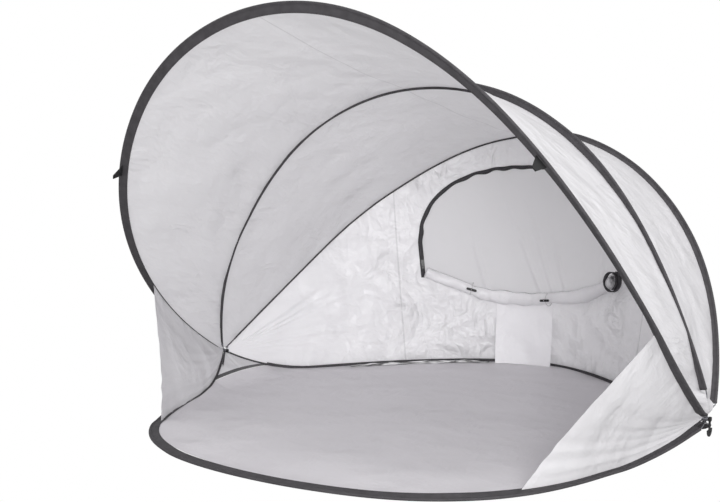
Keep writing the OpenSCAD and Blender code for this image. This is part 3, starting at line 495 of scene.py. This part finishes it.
# The back wall: three panels of the same polyester between the back floor edge and the rear arch.
# The middle one has the window; the side ones run into the corners and are crumpled there.
WALL_SEAM, WALL_END, WALL_FOOT_Z = 0.500, 0.917, 0.002
table_s = np.linspace(-1, 1, 1601)
wall_low = floor_back(table_s)
wall_high = tape_at(rear_arch, table_s, sewn_at(rear_arch)(table_s))


def hoop_at_x(h, x, axis):
    """Reads a coordinate of a hoop of the wall at x."""
    return np.interp(x, h[:, 0], h[:, axis])


def wall(x, z, inward=0.0):
    """A point of the back wall at x and z: y runs straight from the lower hoop to the upper one at that x, and
    the point is then moved in, level, towards the middle of the tent."""
    low_y, low_z, high_y, high_z = (hoop_at_x(h, x, i) for h in (wall_low, wall_high) for i in (1, 2))
    y = low_y + (high_y - low_y) * (z - low_z) / np.maximum(high_z - low_z, 1e-4)
    out = unit(np.stack([x, y, 0 * x], -1))
    return np.stack([x, y, z], -1) - (0.001 + np.asarray(inward))[..., None] * out


def wall_share(x, z):
    """How far the wall follows the rear arch when the tent folds: not at all up to the top of the rolled cover,
    which keeps it upright, and above it soon nearly all the way, as the wall falls back under the arches."""
    low_z, high_z = (hoop_at_x(h, x, 2) for h in (wall_low, wall_high))
    # Height of the upright part: it rises from the middle with the sill, and ends towards the corners
    stiff = np.clip((0.80 - np.abs(x)) / 0.35, 0, 1) * (0.30 + 0.65 * np.minimum(np.abs(x), 0.44) ** 2)
    low_z = low_z + np.minimum(stiff, 0.9 * (high_z - low_z))
    return 1 - (1 - np.clip((z - low_z) / np.maximum(high_z - low_z, 1e-4), 0, 1)) ** 2


def bend_with_wall(o, x, z):
    """Bakes the transform of a piece that hangs on the wall and works out how far it would follow the rear arch when
    the tent folds; the shares are not used.
    """
    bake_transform(o)
    wall_share(x, z)


def wall_piece(name, x, z, inward, node, cloth, closed=False):
    """A sheet on the wall from grids of x and z."""
    p = wall(x, z, inward)
    uv = np.stack([x * (1.05 - 0.20 * z), z], -1)
    if closed:
        uv = np.concatenate([uv, uv[:, :1]], 1)
    o = grid_object(name, p, uv, cloth, closed)
    bend_with_wall(o, x, z)
    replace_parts(o, node)
    whole = np.concatenate([p, p[:, :1]], 1) if closed else p
    cloth_area(whole)
    return o


wall_cloth = cloth_material("wall_cloth", (0.94, 0.935, 0.945), crinkled=0.055, through=0.2, roughness=0.38,
                            seam=WALL_SEAM, calm=(0.50, 0.72))
for side, node in ((-1, "back_wall_left"), (1, "back_wall_right")):
    k, v = np.meshgrid(np.linspace(0, 1, 120), np.linspace(1, 0, 90))
    x = side * (WALL_SEAM + (WALL_END - WALL_SEAM) * (1 - (1 - k) ** 1.4))
    x = x[:, ::side]
    foot, head = (hoop_at_x(h, x, 2) for h in (wall_low, wall_high))
    foot = np.maximum(foot, WALL_FOOT_Z)
    z = foot + (head - foot) * v
    crumple = waves(x, z, 20 + side, count=14, size=0.16, height=0.006)
    crumple = crumple + waves(x, z, 30 + side, count=18, size=0.06, height=0.002)
    held = np.sin(math.pi * v) * (1 - np.exp(-(((np.abs(x) - WALL_SEAM) / 0.05) ** 2)))
    away = np.hypot(WALL_END - np.abs(x), z - CORNER_Z)
    spoke = np.arctan2(z - CORNER_Z, WALL_END + 0.002 - np.abs(x))
    fan = 0.022 * away * np.exp(-((away / 0.25) ** 2)) * np.sin(34 * spoke + 2 * np.sin(9 * spoke))
    fan = fan * np.sin(math.pi * v)
    wall_piece(node + "_cloth", x, z, crumple * held + fan, node, wall_cloth)

# The middle panel of the wall: the same polyester, cut round the window, which is a rounded arch over a
# curved sill. It is sewn to the side panels, the rear arch and the floor's edge.
WIN_HALF, WIN_CORNER, WIN_SILL, WIN_RISE, WIN_SLANT, ZIP_PAST = 0.446, 0.431, 0.258, 0.122, 0.022, 0.016
WIN_SPRING, WIN_TOP, WIN_SQUARE, NET_HALF = 0.480, 0.788, 2.5, 0.440


def window_top(x):
    """Top of the window over x: a squared ellipse above the straight sides."""
    part = np.clip(1 - np.abs(x / WIN_HALF) ** WIN_SQUARE, 0, None)
    return WIN_SPRING + (WIN_TOP - WIN_SPRING) * part ** (1 / WIN_SQUARE)


def window_sill(x):
    """Sill of the window over x: a shallow curve that stands a little higher on the right."""
    return WIN_SILL + WIN_RISE * (x / WIN_CORNER) ** 2 + WIN_SLANT * x / WIN_CORNER


def window_line(k):
    """The zip's line as x and z, with k from -1 at the lower left over 0 at the top to 1 at the lower right."""
    a = np.abs(k)
    d = np.clip((a - 0.75) / 0.25, 0, 1)
    angle = np.minimum(a / 0.75, 1) * math.pi / 2
    x = np.where(a > 0.75, WIN_HALF + (WIN_CORNER - WIN_HALF) * d, WIN_HALF * np.sin(angle) ** (2 / WIN_SQUARE))
    foot = window_sill(np.sign(k) * WIN_CORNER) - ZIP_PAST
    z = np.where(a > 0.75, WIN_SPRING + (foot - WIN_SPRING) * d,
                 WIN_SPRING + (WIN_TOP - WIN_SPRING) * np.cos(angle) ** (2 / WIN_SQUARE))
    return np.sign(k) * x, z


xs = np.linspace(-NET_HALF, NET_HALF, 100)
steps = np.linspace(0, 1, 22)[1:-1]
flat = np.ones_like(steps)
hole_x = np.concatenate([xs, NET_HALF * flat, xs[::-1], -NET_HALF * flat])
top, sill = window_top(xs), window_sill(xs)
hole_z = np.concatenate([top, top[-1] + (sill[-1] - top[-1]) * steps,
                         sill[::-1], sill[0] + (top[0] - sill[0]) * steps])
wide = xs * WALL_SEAM / NET_HALF
head = hoop_at_x(wall_high, wide, 2)
rim_x = np.concatenate([wide, WALL_SEAM * flat, wide[::-1], -WALL_SEAM * flat])
rim_z = np.concatenate([head, head[-1] + (WALL_FOOT_Z - head[-1]) * steps,
                        np.full_like(xs, WALL_FOOT_Z), WALL_FOOT_Z + (head[0] - WALL_FOOT_Z) * steps])
k = np.linspace(0, 1, 36)[:, None]
x, z = hole_x + (rim_x - hole_x) * k, hole_z + (rim_z - hole_z) * k
crumple = waves(x, z, seed=41, count=14, size=0.17, height=0.004) * np.sin(math.pi * k)
wall_piece("back_wall_centre_cloth", x, z, crumple, "back_wall_centre", wall_cloth, closed=True)

# The window net: fine white netting, sewn in behind the zip and stretched, with a few folds that rise from
# the sill.
net = cloth_material("window_net", (0.90, 0.895, 0.905), crinkled=0.006, through=0.35, roughness=0.8)
x, v = np.meshgrid(np.linspace(-NET_HALF, NET_HALF, 160), np.linspace(1, 0, 100))
z = window_sill(x) + (window_top(x) - window_sill(x)) * v
soft = waves(x, z, seed=51, count=8, size=0.3, height=0.003) * np.sin(math.pi * v)
for place, lean, tall in (
    (-0.20, 0.30, 0.6), (0.02, 0.40, 0.8), (0.07, 0.32, 0.8), (0.125, 0.25, 0.6), (0.28, -0.10, 0.5),
):
    across = (x - place - lean * (window_sill(x) - z)) / 0.010
    soft = soft + 0.013 * np.exp(-(across**2)) * np.clip(1 - v / tall, 0, 1) * np.clip(v / 0.04, 0, 1)
pane = wall_piece("window_net_cloth", x, z, soft - 0.001, "window_mesh", net)

# The window's zip: dark tape with a raised coil along its middle, sewn up both sides and over the top of the
# window. It puckers in waves over the arch and lies flat on the straight sides, where the slider runs.
ZIP_WAVE = 0.0135
zip_tape = tape_material("zip_tape", (0.25, 0.245, 0.255))
k = np.linspace(-1, 1, 700)
x, z = window_line(k)
dx, dz = np.gradient(x), np.gradient(z)
size = np.hypot(dx, dz)
# The zip's section in millimetres, across it and off the wall
q = np.array([[-8, 0.4], [-8, 1.2], [-3.4, 1.4], [-2.6, 3.0], [2.6, 3.0], [3.4, 1.4], [8, 1.2], [8, 0.4]]) / 1000
along = run(np.stack([x, z], 1))
pucker = np.sin(along / ZIP_WAVE + 1.3 * np.sin(along / 0.11)) * (0.6 + 0.4 * np.sin(along / 0.07))
loose = 1 - np.clip((np.abs(k) - 0.70) / 0.05, 0, 1)
pucker = pucker * loose
offset = q[None, :, 0] * (0.92 + 0.18 * pucker)[:, None] + (0.0026 * pucker)[:, None]
zx = x[:, None] + offset * (dz / size)[:, None]
zz = z[:, None] - offset * (dx / size)[:, None]
twist = 0.16 * q[None, :, 0] * np.cos(along / ZIP_WAVE)[:, None] * loose[:, None]
p = wall(zx, zz, q[None, :, 1] + twist + 0.0016)
uv = np.stack(np.broadcast_arrays(along[:, None], np.append(q[:, 0], -0.009)[None]), -1)
zipper = grid_object("zip", p, uv, zip_tape, closed=True)
bend_with_wall(zipper, zx, zz)
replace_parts(zipper, "window_zip")

# The small solids: slider and toggles of black plastic, pale elastic loops round the roll, and black webbing
# for the lashings at the corners, the peg tabs on them and the guy tabs sewn to the front arch.
black_plastic = material("black_plastic", (0.06, 0.06, 0.062), roughness=0.35)
webbing = material("black_webbing", (0.10, 0.10, 0.105), roughness=0.8)
elastic = material("pale_elastic", (0.80, 0.795, 0.80), roughness=0.7)
paint(black_plastic, "zip_slider", "toggle_left", "toggle_right")
paint(elastic, "toggle_loops")
paint(webbing, "corner_lashing_left", "corner_lashing_right", "peg_tab_left", "peg_tab_right", "guy_tabs")

# The window cover, unzipped and rolled down on to the sill: the same polyester wound up loosely, tied by
# two elastic loops with toggles. Its own half of the zip shows as a dark ring at the right end.
ROLL_R, ROLL_CORE, ROLL_TURNS, ROLL_POINTS = 0.022, 0.006, 5.8, 300
ROLL_LEFT, ROLL_RIGHT, ROLL_OFF = -0.424, 0.386, 0.0042
TIE_LEFT, TIE_RIGHT, TIE_WIDTH = -0.263, 0.05, 0.015
x = np.linspace(ROLL_LEFT, ROLL_RIGHT, 260)
slack = np.exp(-(((x + 0.10) / 0.13) ** 4)) + 0.8 * np.exp(-(((x - 0.20) / 0.10) ** 4))
sunk = 0.009 * np.exp(-(((x + 0.22) / 0.07) ** 2)) - 0.007 * np.exp(-(((x - 0.07) / 0.08) ** 2))
centre = wall(x, window_sill(x) + ROLL_R / 2 - sunk, np.full_like(x, ROLL_R + ROLL_OFF))
t = unit(np.gradient(centre, axis=0))
fore = unit(np.cross(t, [0, 0, 1.0]))
rise = np.cross(fore, t)
turn = np.linspace(0, 1, ROLL_POINTS)
angle = math.pi / 2 - 2 * math.pi * ROLL_TURNS * turn
tie = np.exp(-(((x - TIE_LEFT) / TIE_WIDTH) ** 2)) + np.exp(-(((x - TIE_RIGHT) / TIE_WIDTH) ** 2))
flare = 0.30 * np.clip((x - 0.28) / 0.09, 0, 1) ** 2 + 0.14 * np.exp(-(((x - 0.2) / 0.09) ** 2))
spread = np.repeat(x[:, None], ROLL_POINTS, 1)
wrap = ROLL_R + (ROLL_CORE - ROLL_R) * turn
thick = wrap[None] * (0.97 - 0.14 * tie + flare)[:, None]
soft = waves(spread, 0.03 * np.cos(angle)[None] + 0 * spread, seed=61, count=12, size=0.06, height=0.0012)
thick = thick + soft * (0.5 + slack)[:, None]
across = thick * np.cos(angle)[None] * (1 - 0.25 * slack)[:, None]
up = thick * np.sin(angle)[None] * (1 + 0.22 * slack)[:, None] - (0.004 * slack)[:, None]
p = centre[:, None] + across[..., None] * fore[:, None] + up[..., None] * rise[:, None]
along, wound = run(centre), run(np.stack([np.cos(angle) * wrap, np.sin(angle) * wrap], 1))
# The roll's cloth is coloured dark over its first 3 mm, in a thin band along the top edge of the roll.
roll_cloth = cloth_material("roll_cloth", (0.92, 0.915, 0.925), crinkled=0.03, through=0.1, roughness=0.36,
                            bound=0.003)
roll = grid_object("window_cover", p, np.stack(np.broadcast_arrays(along[:, None], wound[None]), -1), roll_cloth)
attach(roll, "rear_floor")
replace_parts(roll, "window_cover_roll")
cloth_area(p)

# The cover's half of the zip, as a ring that winds in a little
RING_R, RING_SHRINK, RING_TURNS, RING_LENGTH = 0.037, 0.006, 1.35, 0.24
k = np.linspace(0, 1, 150)
turned = math.radians(70) - 2 * math.pi * RING_TURNS * k
radius = RING_R - RING_SHRINK * k
facing = unit(t[-1] * 0.25 + fore[-1])
wide = unit(np.cross([0, 0, 1.0], facing))
tall = np.cross(facing, wide)
ring = centre[-1] + fore[-1] * (0.012 + 0.012 * k)[:, None] + radius[:, None] * (
    0.92 * np.cos(turned)[:, None] * wide + 1.05 * np.sin(turned)[:, None] * tall)
outward = np.cross(unit(np.gradient(ring, axis=0)), facing)
q = np.array([[-1.6, -9], [1.6, -9], [1.6, 9], [-1.6, 9]]) / 1000
p = ring[:, None] + q[None, :, :1] * outward[:, None] + q[None, :, 1:] * facing[None, None]
uv = np.stack(np.broadcast_arrays((RING_LENGTH * k)[:, None], np.array([0, 0.003, 0.021, 0.024, 0.042])[None]), -1)
loose_zip = grid_object("window_cover_zip", p, uv, zip_tape, closed=True)
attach(loose_zip, "rear_floor")

# Dark tape along the foot of the back wall, where the wall is sewn to the floor's edge. It is a little wider
# on the right.
FOOT_HALF, FOOT_WIDTH, FOOT_WIDER, FOOT_UNDER, FOOT_IN = 0.84, 0.0125, 0.0025, 0.0025, 0.016
x, v = np.meshgrid(np.linspace(-FOOT_HALF, FOOT_HALF, 300), np.linspace(1, 0, 4))
z = np.maximum(hoop_at_x(wall_low, x, 2) - FOOT_UNDER, WALL_FOOT_Z) + (FOOT_WIDTH + FOOT_WIDER * x) * v
p = wall(x, z, FOOT_IN + 0 * x)
foot_tape = grid_object("wall_foot_tape", p, np.stack([x, z], -1), tape)
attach(foot_tape, "rear_floor")

# Along part of that seam a narrow fold of the shiny floor cloth stands up. It is part of the floor's edge. Its
# flecks of light and dark are painted into its colour: painted highlights and painted shade of a crumpled shiny
# fold.
EDGE_FOLD_LEFT, EDGE_FOLD_RIGHT = -0.64, -0.20
x, v = np.meshgrid(np.linspace(EDGE_FOLD_LEFT, EDGE_FOLD_RIGHT, 160), np.linspace(1, 0, 5))
held = np.clip(np.minimum(x - EDGE_FOLD_LEFT, EDGE_FOLD_RIGHT - x) / 0.06, 0, 1)
stand = (0.0055 * v + 0.0010 * np.sin(x / 0.012 + 2 * np.sin(x / 0.03))) * held
p = wall(x, 0.0035 + stand, 0.048 - 0.024 * v)
fold_painted_glints = material("floor_fold_painted_glints", (0.5, 0.5, 0.5), roughness=0.25)
tree, add = fold_painted_glints.node_tree, adder(fold_painted_glints.node_tree)
uv = add("ShaderNodeUVMap", uv_map="cloth")
drawn = add("ShaderNodeMapping", {"Vector": uv.outputs["UV"], "Rotation": (0, 0, 0.5), "Scale": (22, 130, 1)})
tone_noise = add("ShaderNodeTexNoise", {"Vector": drawn.outputs["Vector"], "Scale": 1.0, "Detail": 2.0})
# Painted highlights and shade: the stretched noise runs the fold's colour from near black to near white.
painted_glint_tone = add("ShaderNodeMapRange", {"Value": tone_noise.outputs["Fac"], "From Min": 0.42, "From Max": 0.60,
                                  "To Min": 0.04, "To Max": 0.95})
tree.links.new(painted_glint_tone.outputs["Result"], tree.nodes["Principled BSDF"].inputs["Base Color"])
foot_fold = grid_object("floor_edge_fold", p, np.stack([x, 0.02 * v], -1), fold_painted_glints)
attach(foot_fold, "rear_floor")

# The storage pocket: a flat patch of the wall's cloth with a hem along its open top, sewn to the wall
# there and hanging free, so that its lower edge lies over the edge of the floor.
POCKET_X, POCKET_W, POCKET_TOP, POCKET_FOOT, POCKET_HANG, POCKET_OFF = -0.060, 0.230, 0.250, 0.003, 0.040, 0.003
x, v = np.meshgrid(POCKET_X + POCKET_W * np.linspace(-0.5, 0.5, 60), np.linspace(1, 0, 60))
z = POCKET_FOOT + (POCKET_TOP - POCKET_FOOT) * v
soft = waves(x, z, seed=71, count=8, size=0.12, height=0.0022)
hang = POCKET_OFF + (POCKET_HANG - 0.06 * (x - POCKET_X)) * (1 - v) + soft
p = wall(x, z, hang)
# The pocket's colour is paler than the wall cloth's: painted light, for the light that the wall lets through behind
# it.
pocket_cloth_painted_light = cloth_material("pocket_cloth_painted_light", (0.97, 0.965, 0.975), crinkled=0.022, through=0.15)
pocket = grid_object("pocket", p, np.stack([x, z], -1), pocket_cloth_painted_light)
bend_with_wall(pocket, x, z)
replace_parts(pocket, "storage_pocket")

# The groundsheet: coated woven floor cloth inside the two floor edges. Near the corner line, where it bends when
# the tent folds, it is laid in four strips between its rear and front pieces.
floor_cloth = cloth_material("floor_cloth", (0.82, 0.81, 0.825), crinkled=0.008, through=0.0, roughness=0.45)
SEAM_Y = {"front": -0.170, "back": 0.160}
SEAM_Z, SEAM_BOW, FLOOR_Z = 0.027, 0.010, 0.0012
seam_ends = [floor_front(s_at(floor_front, SEAM_Y["front"], 1)), floor_back(s_at(floor_back, SEAM_Y["back"], 1))]
# The right half of each floor edge, from the corner to the middle, as a table of points
front_edge, back_edge = (line(np.linspace(0, 1, 3000))[::-1] for line in (floor_front, floor_back))


def floor_edge(y, axis):
    """A coordinate of the floor's right edge at y, read from the front or the back wire."""
    return np.where(y < 0, np.interp(-y, -front_edge[:, 1], front_edge[:, axis]),
                    np.interp(y, back_edge[:, 1], back_edge[:, axis]))


def on_seam(y):
    """Whether the floor ends at its straight side seam at y, and not at a wire."""
    return (y > SEAM_Y["front"]) & (y < SEAM_Y["back"])


def floor_half(y):
    """Half width of the floor at y: along the floor edges, and along the straight side seams between them."""
    k = (y - SEAM_Y["front"]) / (SEAM_Y["back"] - SEAM_Y["front"])
    return np.where(on_seam(y), seam_ends[0][0] + (seam_ends[1][0] - seam_ends[0][0]) * k, floor_edge(y, 0))


def seam_height(y):
    """Height of the floor's side seam: a low arch between the two places where it leaves the floor edges."""
    middle, half = (SEAM_Y["front"] + SEAM_Y["back"]) / 2, (SEAM_Y["back"] - SEAM_Y["front"]) / 2
    return SEAM_Z + SEAM_BOW * np.clip(1 - ((y - middle) / half) ** 2, 0, 1)


def floor_rise(x, y):
    """Height of the floor cloth: flat on the ground, lifted at its edge where the tape and the wires hold it."""
    edge_z = np.where(on_seam(y), seam_height(y), floor_edge(y, 2))
    edge_z = np.where(y < SEAM_Y["front"], edge_z + 0.005, edge_z)
    front = np.clip(1 - (y - floor_front(0.0)[1]) / 0.10, 0, 1) ** 2
    near = np.clip(1 - (floor_half(y) - np.abs(x)) / 0.11, 0, 1) ** 2
    return FLOOR_Z + (edge_z - 0.001 - FLOOR_Z) * np.maximum(near, np.where(y < -0.5, front, 0))


def floor_piece(name, y, u, seed):
    """A stretch of floor over rows of y and columns of u from -1 to 1 across."""
    x = u * floor_half(y)
    lift = np.clip(waves(x, y, seed, count=9, size=0.4, height=0.0016), 0, None)
    p = np.stack([x, y, floor_rise(x, y) + lift], -1)
    o = grid_object(name, p, np.stack([x, y], -1), floor_cloth)
    return o, p


# Where the folding floor passes from one hoop to the next, as angles round the corner line
FOLD_FROM, FOLD_SPAN, FOLD_ALL = 213.0, 116.0, 155.0
STAGES = [("rear_floor", "rear_arch", 0, 46), ("rear_arch", "mid_arch", 46, 86),
          ("mid_arch", "front_arch", 86, 114), ("front_arch", "front_floor", 114, 155)]


def fold_y(turned):
    """The y on the ground at which the floor has turned by that many degrees in the folded tent."""
    a = math.radians(FOLD_FROM + FOLD_SPAN * turned / FOLD_ALL)
    return CORNER_Z * math.cos(a) / math.sin(a)


def fold_turn(y, z):
    """How far a point near the corner line turns when the tent is folded, in degrees."""
    a = np.degrees(np.arctan2(z - CORNER_Z, -y)) % 360
    return np.clip((a - FOLD_FROM) / FOLD_SPAN, 0, 1) * FOLD_ALL


y_front, y_back = float(floor_front(0.0)[1]), float(floor_back(0.0)[1])
u = np.linspace(-1, 1, 140)
edges = [fold_y(turned) for turned in (0, 46, 86, 114, 155)]
k = np.linspace(0, 1, 90)
rows = edges[0] + (y_back - 0.0005 - edges[0]) * (1 - (1 - k) ** 2)
floor_rear, p = floor_piece("groundsheet_rear_cloth", *np.meshgrid(rows, u, indexing="ij"), 81)
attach(floor_rear, "rear_floor")
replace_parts(floor_rear, "groundsheet_rear")
cloth_area(p)
rows = edges[4] + (y_front + 0.0005 - edges[4]) * (1 - (1 - k) ** 2)
floor_fore, p = floor_piece("groundsheet_front_cloth", *np.meshgrid(rows, u[::-1], indexing="ij"), 81)
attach(floor_fore, "front_floor")
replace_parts(floor_fore, "groundsheet_front")
cloth_area(p)
for i, (a, b, low, high) in enumerate(STAGES):
    y, across = np.meshgrid(np.linspace(edges[i], edges[i + 1], 24), u[::-1], indexing="ij")
    strip, p = floor_piece("groundsheet_fold_%d" % (i + 1), y, across, 81)
    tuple(p[0, u.size // 2])
    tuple(p[-1, u.size // 2])
    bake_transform(strip)
    np.clip((fold_turn(p[..., 1], p[..., 2] * 0) - low) / (high - low), 0, 1)
    cloth_area(p)

# The corner panels: small pieces of canopy cloth that slope up from the floor's side seam to the wires,
# bound with dark tape along the seam. There is one on each side beside each strip of floor.
corner_cloth = cloth_material("corner_cloth", (0.86, 0.855, 0.865), crinkled=0.02, through=0.15, bound=0.017)
CORNER_TOP = 0.094
for i, (a, b, low, high) in enumerate(STAGES):
    y, v = np.meshgrid(np.linspace(edges[i], edges[i + 1], 24), np.linspace(0, 1, 24), indexing="ij")
    half, low_z = floor_half(y), seam_height(y)
    x = half + (floor_edge(y, 0) - half) * v
    z = low_z + (np.clip(floor_edge(y, 2), low_z, CORNER_TOP) - low_z) * v**1.2
    uv = np.stack([y, np.hypot(x - half, z - low_z)], -1)
    for n, side in enumerate((-1, 1)):
        g = np.stack([side * x, y, z], -1)[:, ::-side]
        o = grid_object("corner_panel_%d_%d" % (i + 1, n), g, uv[:, ::-side], corner_cloth)
        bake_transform(o)
        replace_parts(o, "corner_panels_rear" if i == 0 else "corner_panels_front")
        wide, deep = (np.linalg.norm(np.diff(g, axis=k), axis=-1).sum(k).max() for k in (0, 1))
        cloth_area(g)

# The front gussets: a triangle of canopy cloth in each front corner, between the front arch and the front
# floor edge, with a bound free edge. It is slack, with folds that fan out from the corner.
# The gussets' colour is darker than the canopy cloth they are cut from: painted shade.
gusset_cloth_painted_shade = cloth_material("gusset_cloth_painted_shade", (0.83, 0.825, 0.835), crinkled=0.015, through=0.15, roughness=0.4)
GUSSET_TOP_Z, GUSSET_TIP_Y, GUSSET_SLACK = 0.401, -0.653, 0.020
gusset_top = float(s_at(front_arch, GUSSET_TOP_Z, 2))
gusset_tip = float(s_at(floor_front, GUSSET_TIP_Y, 1))
for side, node in ((-1, "gusset_left"), (1, "gusset_right")):
    k, v = np.meshgrid(np.linspace(0, 1, 100), np.linspace(0, 1, 120), indexing="ij")
    arch_s, floor_s = 1 + (gusset_top - 1) * k, 1 + (gusset_tip - 1) * k
    a = tape_at(front_arch, side * np.minimum(arch_s, S_LAST), 0.003 * np.minimum(k * 8, 1))
    b = tape_at(floor_front, side * np.minimum(floor_s, S_LAST), 0.008 * np.minimum(k * 8, 1), -0.002 + 0 * k)
    straight = a + (b - a) * v[..., None]
    n = np.cross(np.gradient(straight, axis=0), np.gradient(straight, axis=1))
    n *= -side / np.maximum(np.linalg.norm(n, axis=-1, keepdims=True), 1e-9)
    hang = np.sin(math.pi * v**1.6) * np.sin(math.pi * k**0.8 * 0.85)
    fan = np.abs(np.sin(4.5 * math.pi * v**1.6 + 0.5 * np.sin(3 * k))) + 0.5 * np.sin(13 * math.pi * v**1.5 + 2 * k)
    fold = 0.008 * k**0.7 * (1 - 0.5 * k) * np.sin(math.pi * v) ** 0.7 * v**1.5 * fan
    soft = waves(k, v, 91 + side, count=8, size=0.35, height=0.0012)
    fold = fold + soft * np.sin(math.pi * v) * k * (1 - 0.7 * k)
    p = straight + (GUSSET_SLACK * hang + fold)[..., None] * n
    p[..., 2] = np.maximum(p[..., 2], 0.003)
    length = np.linalg.norm(b - a, axis=-1)
    reach = np.linalg.norm(a - a[:1], axis=-1)
    uv = np.stack([reach, length * v], -1)
    o = grid_object(node + "_cloth", p[:, ::side], uv[:, ::side], gusset_cloth_painted_shade)
    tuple(p[-1, 0])
    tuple(p[-1, -1])
    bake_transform(o)
    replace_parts(o, node)
    cloth_area(p)

# The studio: a white floor and background, a large soft light from the right in front, one above, a weak one
# on the left, and light all round.
STUDIO, STUDIO_Z = 30, -0.0012
studio_floor = bpy.data.objects.new("studio_floor", bpy.data.meshes.new("studio_floor"))
corners = [(x * STUDIO, y * STUDIO, STUDIO_Z) for x, y in ((-1, -1), (1, -1), (1, 1), (-1, 1))]
studio_floor.data.from_pydata(corners, [], [(0, 1, 2, 3)])
scene.collection.objects.link(studio_floor)
pale = material("studio_white", (0.72, 0.72, 0.72), roughness=0.9)
tree, add = pale.node_tree, adder(pale.node_tree)
path = add("ShaderNodeLightPath")
white = add("ShaderNodeEmission", {"Color": (1, 1, 1, 1), "Strength": 1.0})
seen = add("ShaderNodeMixShader", {"Fac": path.outputs["Is Camera Ray"],
                                   1: tree.nodes["Principled BSDF"].outputs[0], 2: white.outputs[0]})
tree.links.new(seen.outputs[0], tree.nodes["Material Output"].inputs["Surface"])
studio_floor.data.materials.append(pale)

world = bpy.data.worlds.new("studio")
scene.world = world
world.use_nodes = True
tree, add = world.node_tree, adder(world.node_tree)
back = tree.nodes["Background"]
back.inputs["Color"].default_value = (1, 1, 1, 1)
back.inputs["Strength"].default_value = 0.66
clear = add("ShaderNodeBackground", {"Color": (1, 1, 1, 1)})
path = add("ShaderNodeLightPath")
both = add("ShaderNodeMixShader", {"Fac": path.outputs["Is Camera Ray"], 1: back.outputs[0], 2: clear.outputs[0]})
tree.links.new(both.outputs[0], tree.nodes["World Output"].inputs["Surface"])

# Each lamp's place, the point it faces, its size in metres and its power in watts
for name, place, aim, size, power in (
    ("key", (2.9, -4.2, 1.1), (-0.1, 0.3, 0.6), 1.6, 170),
    ("top", (2.4, 0.2, 4.0), (0.2, 0, 0.6), 3.0, 95),
    ("left", (-3.0, -0.6, 2.6), (-0.4, -0.4, 0.9), 2.0, 24),
):
    lamp = bpy.data.objects.new(name, bpy.data.lights.new(name, "AREA"))
    lamp.data.size = size
    lamp.data.energy = power
    scene.collection.objects.link(lamp)
    lamp.location = place
    ray = np.array(aim) - np.array(place)
    lamp.rotation_euler = (math.atan2(math.hypot(ray[0], ray[1]), -ray[2]), 0, math.atan2(-ray[0], ray[1]))
